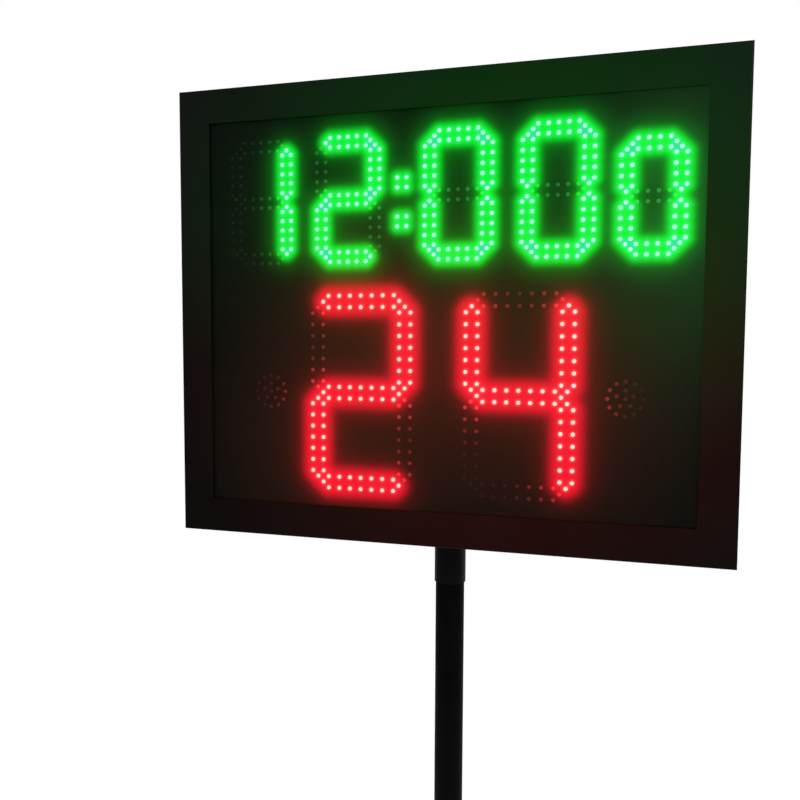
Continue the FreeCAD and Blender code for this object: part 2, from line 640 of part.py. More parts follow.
def build_boards():
    """Lamp boards with their lamps, spacers and screws, and the mask over them."""
    nodes = {}
    holes = []
    boards = {RED_PITCH: [], GREEN_PITCH: []}
    for x, z, pairs, pitch in DIGITS:
        plate, own_holes = digit_board(x, z, pairs, pitch)
        boards[pitch].append(plate)
        holes += own_holes

    colon_half_width = COLON_HALF_WIDTH + BOARD_MARGIN
    colon_half_height = COLON_RISE + COLON_HALF_WIDTH + 2 * BOARD_MARGIN
    colon_holes = [(COLON_X, COLON_LEVEL + s * (colon_half_height - BOARD_MARGIN / 2)) for s in SIDES]
    colon = board(COLON_X, COLON_LEVEL, colon_half_width, colon_half_height, colon_holes)
    boards[GREEN_PITCH].append(colon)
    holes += colon_holes

    bore = BOARD_SCREW_DIAMETER + 2 * SCREW_CLEARANCE
    disc_diameter = 2 * (ROUND_LAMP_RADIUS + BOARD_MARGIN)
    for side in SIDES:
        x = side * ROUND_LAMP_X
        disc = rod_y(x, RED_LEVEL, disc_diameter, BOARD_FRONT, BOARD_BACK)
        hole_radius = ROUND_LAMP_RADIUS + BOARD_MARGIN - BOARD_HOLE_INSET
        for step in range(2):
            angle = math.radians(45 + 180 * step)
            place = (x + hole_radius * math.cos(angle), RED_LEVEL + hole_radius * math.sin(angle))
            disc = disc.cut(bore_y(*place, bore, BOARD_FRONT, BOARD_BACK))
            holes.append(place)
        boards[RED_PITCH].append(disc)
    nodes["red_lamp_boards"] = boards[RED_PITCH]
    nodes["green_lamp_boards"] = boards[GREEN_PITCH]
    lamps = lamp_places()
    nodes["red_leds"] = [led(x, z) for x, z in lamps[RED_PITCH]]
    nodes["green_leds"] = [led(x, z) for x, z in lamps[GREEN_PITCH]]

    mask_front = STRIP_BACK
    mask_back = STRIP_BACK + MASK_THICKNESS
    mask = slab(0, MIDDLE, 2 * (PANE_HALF_WIDTH - MASK_INSET), 2 * (PANE_HALF_HEIGHT - MASK_INSET),
                mask_front, mask_back)
    bores = [bore_y(x, z, LED_DIAMETER + 2 * FREE_CLEARANCE, mask_front, mask_back)
             for x, z in lamps[RED_PITCH] + lamps[GREEN_PITCH]]
    nodes["lamp_mask"] = mask.cut(Part.makeCompound(bores))

    spacers = []
    screws = []
    bore = BOARD_SCREW_DIAMETER + 2 * RUNNING_CLEARANCE
    for x, z in holes:
        spacer = hexagon(V(x, BOARD_BACK, z), Y_AXIS, STANDOFF_FLATS, STANDOFF_LENGTH)
        spacers.append(spacer.cut(bore_y(x, z, bore, BOARD_BACK, CHASSIS_FRONT)))
        head = rod_y(x, z, BOARD_SCREW_HEAD_DIAMETER, BOARD_FRONT - BOARD_SCREW_HEAD_HEIGHT, BOARD_FRONT)
        shank = rod_y(x, z, BOARD_SCREW_DIAMETER, BOARD_FRONT - BOARD_SCREW_HEAD_HEIGHT, CHASSIS_FRONT)
        screws.append(one_solid(head.fuse(shank)))
    nodes["board_spacers"] = spacers
    nodes["board_screws"] = screws
    return nodes


def strip_studs():
    """Places of the studs that hold the strips of the window pane."""
    out_x = PANE_HALF_WIDTH + FREE_CLEARANCE + STRIP_FOOT / 2
    out_z = PANE_HALF_HEIGHT + FREE_CLEARANCE + STRIP_FOOT / 2
    span_x = 2 * (PANE_HALF_WIDTH - STRIP_LIP)
    span_z = 2 * (PANE_HALF_HEIGHT - 2 * STRIP_LIP)
    across = spread(STRIP_STUD_LONG_COUNT, span_x)
    upright = spread(STRIP_STUD_SHORT_COUNT, span_z)
    places = [(x, MIDDLE + side * out_z) for side in SIDES for x in across]
    return places + [(side * out_x, MIDDLE + z) for side in SIDES for z in upright]


def cover_screw_places():
    """Places of the screws round the edge of the rear cover."""
    out_x = INNER_HALF_WIDTH - RETURN_FLANGE / 2
    out_z = INNER_HALF_HEIGHT - RETURN_FLANGE / 2
    places = [(x, MIDDLE + side * out_z) for side in SIDES for x in spread(COVER_SCREW_LONG_COUNT, 2 * out_x)]
    between = spread(COVER_SCREW_SHORT_COUNT + 2, 2 * out_z)[1:-1]
    return places + [(side * out_x, MIDDLE + z) for side in SIDES for z in between]


def build_housing():
    """Front shell, window, strips and rear cover screws."""
    nodes = {}
    outer = slab(0, MIDDLE, HOUSING_WIDTH, HOUSING_HEIGHT, FACE_FRONT, COVER_FRONT)
    face_edges = [edge for edge in outer.Edges if abs(edge.CenterOfMass.y - FACE_FRONT) < FACE_EDGE_RADIUS]
    outer = outer.makeFillet(FACE_EDGE_RADIUS, face_edges)
    hollow = slab(0, MIDDLE, 2 * INNER_HALF_WIDTH, 2 * INNER_HALF_HEIGHT, FACE_BACK, FLANGE_FRONT)
    rear_width = 2 * (INNER_HALF_WIDTH - RETURN_FLANGE)
    rear_height = 2 * (INNER_HALF_HEIGHT - RETURN_FLANGE)
    rear_mouth = slab(0, MIDDLE, rear_width, rear_height, FLANGE_FRONT - OVERRUN, COVER_FRONT + OVERRUN)
    window = slab(0, MIDDLE, WINDOW_WIDTH, WINDOW_HEIGHT, FACE_FRONT - OVERRUN, FACE_BACK + OVERRUN)
    shell = outer.cut(hollow).cut(rear_mouth).cut(window)
    tapped = COVER_SCREW_DIAMETER + 2 * RUNNING_CLEARANCE
    for x, z in cover_screw_places():
        shell = shell.cut(bore_y(x, z, tapped, FLANGE_FRONT, COVER_FRONT))
    nodes["front_shell"] = shell

    nodes["window_pane"] = slab(0, MIDDLE, 2 * PANE_HALF_WIDTH, 2 * PANE_HALF_HEIGHT, PANE_FRONT, PANE_BACK)
    gasket = slab(0, MIDDLE, 2 * PANE_HALF_WIDTH, 2 * PANE_HALF_HEIGHT, FACE_BACK, PANE_FRONT)
    inner_width = WINDOW_WIDTH + 2 * GASKET_INSET
    inner_height = WINDOW_HEIGHT + 2 * GASKET_INSET
    opening = slab(0, MIDDLE, inner_width, inner_height, FACE_BACK - OVERRUN, PANE_FRONT + OVERRUN)
    nodes["window_gasket"] = gasket.cut(opening)

    foot_inner = PANE_HALF_WIDTH + FREE_CLEARANCE
    foot_top = PANE_HALF_HEIGHT + FREE_CLEARANCE
    short_length = 2 * (foot_top - STRIP_LIP - FREE_CLEARANCE)
    long_length = 2 * (foot_inner + STRIP_FOOT)
    strips = []
    stud_bore = STRIP_STUD_DIAMETER + 2 * SCREW_CLEARANCE
    for side in SIDES:
        lip_x = side * (foot_inner - STRIP_LIP / 2)
        foot_x = side * (foot_inner + STRIP_FOOT / 2)
        lip = slab(lip_x, MIDDLE, STRIP_LIP, short_length, PANE_BACK, STRIP_BACK)
        foot = slab(foot_x, MIDDLE, STRIP_FOOT, short_length, FACE_BACK, STRIP_BACK)
        strips.append(one_solid(lip.fuse(foot)))
        lip_z = MIDDLE + side * (foot_top - STRIP_LIP / 2)
        foot_z = MIDDLE + side * (foot_top + STRIP_FOOT / 2)
        lip = slab(0, lip_z, long_length, STRIP_LIP, PANE_BACK, STRIP_BACK)
        foot = slab(0, foot_z, long_length, STRIP_FOOT, FACE_BACK, STRIP_BACK)
        strips.append(one_solid(lip.fuse(foot)))
    studs = []
    nuts = []
    for x, z in strip_studs():
        stud_tip = STRIP_BACK + STRIP_NUT_HEIGHT + STRIP_STUD_END
        studs.append(rod_y(x, z, STRIP_STUD_DIAMETER, FACE_BACK, stud_tip))
        bore = bore_y(x, z, stud_bore, FACE_BACK, STRIP_BACK)
        strips = [strip.cut(bore) for strip in strips]
        nut_back = STRIP_BACK + STRIP_NUT_HEIGHT
        nuts.append(nut_y(x, z, STRIP_STUD_DIAMETER, STRIP_NUT_FLATS, STRIP_BACK, nut_back))
    nodes["pane_strips"] = strips
    nodes["pane_fasteners"] = studs + nuts

    screws = []
    for x, z in cover_screw_places():
        screws.append(screw_y(x, z, COVER_SCREW_DIAMETER, COVER_SCREW_HEAD_DIAMETER, COVER_SCREW_HEAD_HEIGHT,
                              COVER_BACK, COVER_BACK - COVER_SCREW_LENGTH))
    nodes["housing_screws"] = screws
    return nodes


def wall_insert_places():
    """Places of the threaded inserts for a wall bracket."""
    return [(x, MIDDLE + z) for x, z in corners_of(HALF_WIDTH - WALL_INSET_X, HALF_HEIGHT - WALL_INSET_Z)]


def saddle_levels():
    """Heights of the two saddles of the sleeve."""
    return [SLEEVE_BOTTOM + SADDLE_LOW_RISE, SLEEVE_TOP - SADDLE_TOP_DROP]


def saddle_bolt_places():
    """Places of the bolts through the saddles, the cover and the spine."""
    return [(side * SADDLE_BOLT_SPREAD / 2, level) for level in saddle_levels() for side in SIDES]


def button_places():
    """Places of the two push buttons."""
    x = -CONTROL_OFFSET
    z = MIDDLE + CONTROL_RISE - BUTTON_DROP
    return {"set_button": (x - BUTTON_SPACING / 2, z), "test_button": (x + BUTTON_SPACING / 2, z)}


def horn_holes():
    """Places of the holes of the horn's grille, ring by ring."""
    x = HORN_X
    z = HORN_LEVEL
    places = [(x, z)]
    for ring in range(1, HORN_RING_COUNT):
        count = HORN_HOLE_COUNT * ring
        for step in range(count):
            angle = 2 * math.pi * step / count
            radius = HORN_RING_SPACING * ring
            places.append((x + radius * math.cos(angle), z + radius * math.sin(angle)))
    return places


def horn_screw_places():
    """Places of the screws that hold the grille and the horn."""
    radius = (HORN_GRILLE_DIAMETER + HORN_DIAMETER) / 4
    places = []
    for step in range(HORN_SCREW_COUNT):
        angle = 2 * math.pi * (step + 0.5) / HORN_SCREW_COUNT
        x = HORN_X + radius * math.cos(angle)
        places.append((x, HORN_LEVEL + radius * math.sin(angle)))
    return places


def build_cover():
    """The rear cover with every hole that its fittings need."""
    cover = slab(0, MIDDLE, HOUSING_WIDTH, HOUSING_HEIGHT, COVER_FRONT, COVER_BACK)
    near = COVER_FRONT - OVERRUN
    far = COVER_BACK + OVERRUN
    cuts = []
    for x, z in cover_screw_places():
        cuts.append(rod_y(x, z, COVER_SCREW_DIAMETER + 2 * SCREW_CLEARANCE, near, far))
    for x, z in wall_insert_places():
        cuts.append(rod_y(x, z, WALL_INSERT_DIAMETER + 2 * RUNNING_CLEARANCE, near, far))
    for x, z in saddle_bolt_places():
        cuts.append(rod_y(x, z, SADDLE_BOLT_DIAMETER + 2 * SCREW_CLEARANCE, near, far))
    for x, z in button_places().values():
        cuts.append(rod_y(x, z, BUTTON_DIAMETER + 2 * FREE_CLEARANCE, near, far))
    for x, z in horn_holes():
        cuts.append(rod_y(x, z, HORN_HOLE_DIAMETER, near, far))
    for x, z in horn_screw_places():
        cuts.append(rod_y(x, z, BOARD_SCREW_DIAMETER + 2 * SCREW_CLEARANCE, near, far))
    socket_width = AERIAL_SOCKET_DIAMETER + 2 * SCREW_CLEARANCE
    cuts.append(rod_y(AERIAL_OFFSET, AERIAL_LEVEL, socket_width, near, far))
    cuts.append(rod_y(FUSE_OFFSET, SOCKET_ROW, FUSE_BODY_DIAMETER + 2 * SCREW_CLEARANCE, near, far))
    inlet_width = INLET_BODY_WIDTH + 2 * SCREW_CLEARANCE
    inlet_height = INLET_BODY_HEIGHT + 2 * SCREW_CLEARANCE
    cuts.append(slab(INLET_OFFSET, SOCKET_ROW, inlet_width, inlet_height, near, far))
    for side in SIDES:
        x = INLET_OFFSET + side * INLET_SCREW_SPACING / 2
        cuts.append(rod_y(x, SOCKET_ROW, INLET_SCREW_DIAMETER + 2 * SCREW_CLEARANCE, near, far))
        z = SOCKET_ROW + side * DATA_SCREW_SPACING / 2
        cuts.append(rod_y(-DATA_OFFSET, z, INLET_SCREW_DIAMETER + 2 * SCREW_CLEARANCE, near, far))
    switch_width = SWITCH_BODY_WIDTH + 2 * SCREW_CLEARANCE
    switch_height = SWITCH_BODY_HEIGHT + 2 * SCREW_CLEARANCE
    cuts.append(slab(SWITCH_OFFSET, SOCKET_ROW, switch_width, switch_height, near, far))
    data_width = DATA_BODY_WIDTH + 2 * SCREW_CLEARANCE
    data_height = DATA_BODY_HEIGHT + 2 * SCREW_CLEARANCE
    cuts.append(slab(-DATA_OFFSET, SOCKET_ROW, data_width, data_height, near, far))
    for step in spread(VENT_COUNT, VENT_SPACING * (VENT_COUNT - 1)):
        x = SUPPLY_OFFSET + step
        z = MIDDLE - SUPPLY_DROP
        cuts.append(slab(x, z, VENT_WIDTH, VENT_LENGTH - VENT_WIDTH, near, far))
        for side in SIDES:
            cuts.append(rod_y(x, z + side * (VENT_LENGTH - VENT_WIDTH) / 2, VENT_WIDTH, near, far))
    cover = cover.cut(Part.makeCompound(cuts))

    inserts = []
    for x, z in wall_insert_places():
        barrel = rod_y(x, z, WALL_INSERT_DIAMETER, COVER_BACK - WALL_INSERT_LENGTH, COVER_BACK)
        rim_thickness = WALL_INSERT_FLANGE_THICKNESS
        rim = rod_y(x, z, WALL_INSERT_FLANGE_DIAMETER, COVER_BACK, COVER_BACK + rim_thickness)
        thread = bore_y(x, z, WALL_THREAD_BORE, COVER_BACK - WALL_INSERT_LENGTH, COVER_BACK + rim_thickness)
        inserts.append(one_solid(barrel.fuse(rim)).cut(thread))
    return {"rear_cover": cover, "wall_inserts": inserts}


def build_chassis():
    """Chassis plate with its brackets, and the spine that stiffens the cover."""
    nodes = {}
    width = 2 * (INNER_HALF_WIDTH - CHASSIS_GAP)
    height = 2 * (INNER_HALF_HEIGHT - CHASSIS_GAP)
    plate = slab(0, MIDDLE, width, height, CHASSIS_FRONT, CHASSIS_BACK)
    near = CHASSIS_FRONT - OVERRUN
    far = CHASSIS_BACK + OVERRUN
    for slot_x, slot_z in ribbon_slots():
        plate = plate.cut(slab(slot_x, slot_z, RIBBON_SLOT_WIDTH, RIBBON_SLOT_HEIGHT, near, far))
    brackets = []
    screws = []
    for side in SIDES:
        for level in SIDES:
            z = MIDDLE + level * (HALF_HEIGHT - BRACKET_INSET)
            wall = side * INNER_HALF_WIDTH
            reach = side * (INNER_HALF_WIDTH - BRACKET_LEG)
            leg = box(min(wall, reach), max(wall, reach), CHASSIS_BACK, CHASSIS_BACK + BRACKET_THICKNESS,
                      z - BRACKET_LENGTH / 2, z + BRACKET_LENGTH / 2)
            inner = side * (INNER_HALF_WIDTH - BRACKET_THICKNESS)
            up = box(min(wall, inner), max(wall, inner), CHASSIS_BACK, CHASSIS_BACK + BRACKET_LEG,
                     z - BRACKET_LENGTH / 2, z + BRACKET_LENGTH / 2)
            bracket = one_solid(leg.fuse(up))
            x = side * (INNER_HALF_WIDTH - BRACKET_LEG / 2)
            bore = BRACKET_SCREW_DIAMETER + 2 * SCREW_CLEARANCE
            bracket = bracket.cut(rod_y(x, z, bore, near, CHASSIS_BACK + BRACKET_THICKNESS + OVERRUN))
            plate = plate.cut(rod_y(x, z, bore, near, far))
            screws.append(screw_y(x, z, BRACKET_SCREW_DIAMETER, BRACKET_SCREW_HEAD_DIAMETER,
                                  BRACKET_SCREW_HEAD_HEIGHT, CHASSIS_BACK + BRACKET_THICKNESS,
                                  CHASSIS_FRONT - SHEET))
            brackets.append(bracket)
    nodes["chassis_plate"] = plate
    nodes["chassis_brackets"] = brackets
    nodes["housing_screws"] = screws

    spine_height = 2 * (INNER_HALF_HEIGHT - RETURN_FLANGE - FREE_CLEARANCE)
    spine = slab(0, MIDDLE, SPINE_WIDTH, spine_height, CHASSIS_BACK, COVER_FRONT)
    gutter = slab(0, MIDDLE, SPINE_WIDTH - 2 * SPINE_THICKNESS, spine_height + 2 * OVERRUN,
                  CHASSIS_BACK - OVERRUN, COVER_FRONT - SPINE_THICKNESS)
    spine = spine.cut(gutter)
    bore = SADDLE_BOLT_DIAMETER + 2 * SCREW_CLEARANCE
    for x, z in saddle_bolt_places():
        spine = spine.cut(bore_y(x, z, bore, COVER_FRONT - SPINE_THICKNESS, COVER_FRONT))
    lead_hole = 2 * LEAD_DIAMETER
    spine = spine.cut(rod_x(dc_lead_depth(), dc_lead_level(), lead_hole, -SPINE_WIDTH, SPINE_WIDTH))
    nodes["rear_spine"] = spine
    return nodes


def control_centre():
    """Middle of the control board."""
    return -CONTROL_OFFSET, MIDDLE + CONTROL_RISE


def dc_lead_level():
    """Height at which the low-voltage lead crosses the spine."""
    return MIDDLE - SUPPLY_DROP + SUPPLY_HEIGHT / 2 + 2 * LEAD_DIAMETER


def dc_lead_depth():
    """Depth at which the low-voltage lead crosses the spine."""
    return CHASSIS_BACK + 2 * LEAD_DIAMETER


def ribbon_slots():
    """Places of the chassis slots where the ribbons reach the boards."""
    return [(MINUTE_UNITS_X, GREEN_LEVEL - GREEN_HALF_HEIGHT / 2),
            (-RED_X, RED_LEVEL + RIBBON_SLOT_HEIGHT)]


def header_places():
    """Places of the two ribbon headers on the control board, at its upper and lower edges."""
    reach = CONTROL_HEIGHT / 2 - HEADER_DEPTH
    x_places = [place[0] for place in ribbon_slots()]
    return [(x, MIDDLE + CONTROL_RISE + side * reach) for x, side in zip(x_places, (1, -1))]


def build_control():
    """Control board with its parts, ribbons, push buttons and radio receiver."""
    nodes = {}
    x, z = control_centre()
    plate = slab(x, z, CONTROL_WIDTH, CONTROL_HEIGHT, CONTROL_FRONT, CONTROL_BACK)
    spacers = []
    screws = []
    inset_x = CONTROL_WIDTH / 2 - BOARD_HOLE_INSET
    inset_z = CONTROL_HEIGHT / 2 - BOARD_HOLE_INSET
    bore = BOARD_SCREW_DIAMETER + 2 * SCREW_CLEARANCE
    thread = BOARD_SCREW_DIAMETER + 2 * RUNNING_CLEARANCE
    for dx, dz in corners_of(inset_x, inset_z):
        hole_x = x + dx
        hole_z = z + dz
        plate = plate.cut(bore_y(hole_x, hole_z, bore, CONTROL_FRONT, CONTROL_BACK))
        spacer = hexagon(V(hole_x, CHASSIS_BACK, hole_z), Y_AXIS, STANDOFF_FLATS, CONTROL_STANDOFF)
        spacers.append(spacer.cut(bore_y(hole_x, hole_z, thread, CHASSIS_BACK, CONTROL_FRONT)))
        screws.append(screw_y(hole_x, hole_z, BOARD_SCREW_DIAMETER, BOARD_SCREW_HEAD_DIAMETER,
                              BOARD_SCREW_HEAD_HEIGHT, CONTROL_BACK, CHASSIS_BACK))
    nodes["control_board"] = plate
    nodes["board_spacers"] = spacers
    nodes["board_screws"] = screws

    chip_back = CONTROL_BACK + CHIP_HEIGHT
    chips = [slab(x - PROCESSOR_SIDE, z, PROCESSOR_SIDE, PROCESSOR_SIDE, CONTROL_BACK, chip_back)]
    for step in spread(DRIVER_COUNT, DRIVER_SPACING * (DRIVER_COUNT - 1)):
        chip_x = x + step - DRIVER_DEPTH
        chip_z = z + PROCESSOR_SIDE + DRIVER_DEPTH
        chips.append(slab(chip_x, chip_z, DRIVER_WIDTH, DRIVER_DEPTH, CONTROL_BACK, chip_back))

    headers = []
    ribbons = []
    for (head_x, head_z), (slot_x, slot_z) in zip(header_places(), ribbon_slots()):
        top = CONTROL_BACK + HEADER_HEIGHT
        headers.append(slab(head_x, head_z, HEADER_WIDTH, HEADER_DEPTH, CONTROL_BACK, top))
        ribbons.append(ribbon(head_x, head_z, slot_z, top))
        board_top = BOARD_BACK + HEADER_HEIGHT / 2
        headers.append(slab(slot_x, slot_z, HEADER_WIDTH, HEADER_DEPTH, BOARD_BACK, board_top))
    plug_x = x + CONTROL_WIDTH / 2 - PLUG_INSET - PLUG_WIDTH / 2
    headers.append(slab(plug_x, dc_lead_level(), PLUG_WIDTH, PLUG_HEIGHT, CONTROL_BACK,
                        dc_lead_depth() + LEAD_DIAMETER / 2))
    nodes["ribbon_cables"] = ribbons

    bodies = []
    for name, (button_x, button_z) in button_places().items():
        body_back = CONTROL_BACK + BUTTON_BODY_HEIGHT
        bodies.append(slab(button_x, button_z, BUTTON_BODY_SIDE, BUTTON_BODY_SIDE, CONTROL_BACK, body_back))
        stem_front = body_back + BUTTON_TRAVEL + FREE_CLEARANCE
        cap = rod_y(button_x, button_z, BUTTON_DIAMETER, stem_front, COVER_BACK + BUTTON_PROUD)
        cap = cap.makeFillet(BUTTON_PROUD / 4, [cap.Edges[0]])
        rim_diameter = BUTTON_DIAMETER + 4 * BUTTON_COLLAR_THICKNESS
        rim_back = COVER_FRONT - FREE_CLEARANCE
        rim = rod_y(button_x, button_z, rim_diameter, rim_back - BUTTON_COLLAR_THICKNESS, rim_back)
        nodes[name] = one_solid(cap.fuse(rim))
    nodes["control_components"] = chips + headers + bodies

    radio_z = RADIO_LEVEL
    nodes["radio_receiver"] = slab(RADIO_OFFSET, radio_z, RADIO_WIDTH, RADIO_HEIGHT,
                                   CHASSIS_BACK, CHASSIS_BACK + RADIO_THICKNESS)
    return nodes


def ribbon(x, head_z, slot_z, top):
    """A flat cable from the top of a header, down to the chassis plate and through its slot."""
    half = RIBBON_THICKNESS / 2
    clear = CHASSIS_BACK + RIBBON_BEND
    direction = 1 if slot_z > head_z else -1
    edge = MIDDLE + CONTROL_RISE + direction * (CONTROL_HEIGHT / 2 + RIBBON_BEND + RIBBON_THICKNESS)
    board_end = BOARD_BACK + HEADER_HEIGHT / 2 + half
    route = [(top + half, head_z), (top + half, edge), (clear, edge), (clear, slot_z), (board_end, slot_z)]
    pieces = []
    for (y0, z0), (y1, z1) in zip(route, route[1:]):
        pieces.append(box(x - RIBBON_WIDTH / 2, x + RIBBON_WIDTH / 2, min(y0, y1) - half, max(y0, y1) + half,
                          min(z0, z1) - half, max(z0, z1) + half))
    return one_solid(pieces[0].multiFuse(pieces[1:]))


def build_aerial():
    """Aerial socket on the cover, the elbow that turns in it and the whip that folds."""
    nodes = {}
    x = AERIAL_OFFSET
    z = AERIAL_LEVEL
    tip = COVER_BACK + AERIAL_SOCKET_PROUD
    barrel = rod_y(x, z, AERIAL_SOCKET_DIAMETER, COVER_FRONT - AERIAL_SOCKET_INSIDE, tip)
    shoulder = hexagon(V(x, COVER_FRONT - AERIAL_NUT_HEIGHT, z), Y_AXIS, AERIAL_NUT_FLATS, AERIAL_NUT_HEIGHT)
    nut = hexagon(V(x, COVER_BACK, z), Y_AXIS, AERIAL_NUT_FLATS, AERIAL_NUT_HEIGHT)
    nodes["aerial_socket"] = one_solid(barrel.multiFuse([shoulder, nut]))

    elbow_front = COVER_BACK + AERIAL_NUT_HEIGHT + FREE_CLEARANCE
    elbow_back = tip + AERIAL_ELBOW_LENGTH
    pivot_y = elbow_back - AERIAL_ELBOW_DIAMETER / 2
    stem = rod_y(x, z, AERIAL_ELBOW_DIAMETER, elbow_front, pivot_y)
    knuckle = rod_y(x, z, AERIAL_ELBOW_DIAMETER, pivot_y, elbow_back)
    rounding = rod_x(pivot_y, z, AERIAL_ELBOW_DIAMETER, x - AERIAL_ELBOW_DIAMETER, x + AERIAL_ELBOW_DIAMETER)
    elbow = one_solid(stem.fuse(knuckle.common(rounding)))
    bore = rod_y(x, z, AERIAL_SOCKET_DIAMETER + 2 * RUNNING_CLEARANCE, elbow_front - OVERRUN,
                 tip + RUNNING_CLEARANCE)
    gap = AERIAL_TONGUE_WIDTH + 2 * FREE_CLEARANCE
    slot_front = pivot_y - AERIAL_ELBOW_DIAMETER / 2
    slot = slab(x, z, gap, 2 * AERIAL_ELBOW_DIAMETER, slot_front, elbow_back + OVERRUN)
    pin = rod_x(pivot_y, z, AERIAL_PIN_DIAMETER, x - gap / 2 - OVERRUN, x + gap / 2 + OVERRUN)
    nodes["aerial_elbow"] = one_solid(elbow.cut(bore).cut(slot).fuse(pin))

    tongue_radius = AERIAL_ELBOW_DIAMETER / 2 - FREE_CLEARANCE
    neck_top = z + AERIAL_ELBOW_DIAMETER / 2 + 2 * FREE_CLEARANCE
    tongue = rod_x(pivot_y, z, 2 * tongue_radius, x - AERIAL_TONGUE_WIDTH / 2, x + AERIAL_TONGUE_WIDTH / 2)
    web = box(x - AERIAL_TONGUE_WIDTH / 2, x + AERIAL_TONGUE_WIDTH / 2, pivot_y - tongue_radius,
              pivot_y + tongue_radius, z, neck_top + OVERRUN)
    whip = Part.makeCone(AERIAL_WHIP_DIAMETER / 2, AERIAL_TIP_DIAMETER / 2, AERIAL_WHIP_LENGTH,
                         V(x, pivot_y, neck_top), Z_AXIS)
    whip_tip = Part.makeSphere(AERIAL_TIP_DIAMETER / 2, V(x, pivot_y, neck_top + AERIAL_WHIP_LENGTH))
    whip_cap = whip_tip.cut(rod_z(x, pivot_y, 2 * AERIAL_TIP_DIAMETER, neck_top,
                                  neck_top + AERIAL_WHIP_LENGTH))
    pin_bore = rod_x(pivot_y, z, AERIAL_PIN_DIAMETER + 2 * RUNNING_CLEARANCE, x - gap, x + gap)
    nodes["aerial_whip"] = one_solid(whip.multiFuse([tongue, web, whip_cap]).cut(pin_bore))

    depth = CHASSIS_BACK + RADIO_THICKNESS / 2
    socket_end = COVER_FRONT - AERIAL_SOCKET_INSIDE
    radio_edge = RADIO_OFFSET + RADIO_WIDTH / 2
    route = [V(radio_edge, depth, RADIO_LEVEL), V(x, depth, RADIO_LEVEL), V(x, depth, z),
             V(x, socket_end, z)]
    nodes["inner_leads"] = [bent_lead(route, COAX_DIAMETER, COAX_BEND)]
    return nodes


def build_supply():
    """Power supply with its board and terminals, and the leads that it feeds."""
    nodes = {}
    x = SUPPLY_OFFSET
    z = MIDDLE - SUPPLY_DROP
    back = CHASSIS_BACK + SUPPLY_DEPTH
    case = slab(x, z, SUPPLY_WIDTH, SUPPLY_HEIGHT, CHASSIS_BACK, back)
    inner_width = SUPPLY_WIDTH - 2 * SUPPLY_WALL
    inner_height = SUPPLY_HEIGHT - 2 * SUPPLY_WALL
    hollow = slab(x, z, inner_width, inner_height, CHASSIS_BACK + SUPPLY_WALL, back - SUPPLY_WALL)
    mouth_x = x + SUPPLY_WIDTH / 2 - TERMINAL_WIDTH / 2
    mouth = slab(mouth_x, z, TERMINAL_WIDTH + 2 * FREE_CLEARANCE, inner_height, CHASSIS_BACK + SUPPLY_WALL,
                 back + OVERRUN)
    nodes["supply_case"] = case.cut(hollow).cut(mouth)

    board_front = CHASSIS_BACK + SUPPLY_WALL + SUPPLY_BOARD_INSET
    board_back = board_front + BOARD_THICKNESS
    plate = slab(x, z, inner_width, inner_height, board_front, board_back)
    posts = [rod_y(x + dx, z + dz, STANDOFF_FLATS, CHASSIS_BACK + SUPPLY_WALL, board_front)
             for dx, dz in corners_of(inner_width / 2 - BOARD_MARGIN, inner_height / 2 - BOARD_MARGIN)]
    coil_back = board_back + SUPPLY_COIL_HEIGHT
    pieces = posts + [rod_y(x - SUPPLY_COIL_DIAMETER, z, SUPPLY_COIL_DIAMETER, board_back, coil_back)]
    capacitor_back = min(board_back + SUPPLY_CAPACITOR_HEIGHT, back - SUPPLY_WALL)
    for side in SIDES:
        capacitor_x = x + SUPPLY_CAPACITOR_DIAMETER
        capacitor_z = z + side * SUPPLY_CAPACITOR_DIAMETER
        pieces.append(rod_y(capacitor_x, capacitor_z, SUPPLY_CAPACITOR_DIAMETER, board_back, capacitor_back))
    terminals = slab(mouth_x, z, TERMINAL_WIDTH, TERMINAL_HEIGHT, board_back, board_back + TERMINAL_DEPTH)
    nodes["supply_board"] = [one_solid(plate.multiFuse(pieces)), terminals]

    depth = dc_lead_depth()
    case_bottom = z - SUPPLY_HEIGHT / 2
    case_top = z + SUPPLY_HEIGHT / 2
    inlet_top = SOCKET_ROW + INLET_BODY_HEIGHT / 2
    mains = [V(INLET_OFFSET, depth, inlet_top), V(INLET_OFFSET, depth, inlet_top + LEAD_RISE),
             V(mouth_x, depth, inlet_top + LEAD_RISE), V(mouth_x, depth, case_bottom)]
    plug_end = CONTROL_WIDTH / 2 - CONTROL_OFFSET - PLUG_INSET
    low_voltage = [V(mouth_x, depth, case_top), V(mouth_x, depth, dc_lead_level()),
                   V(plug_end, depth, dc_lead_level())]
    nodes["inner_leads"] = [bent_lead(route, LEAD_DIAMETER, LEAD_BEND) for route in (mains, low_voltage)]
    return nodes


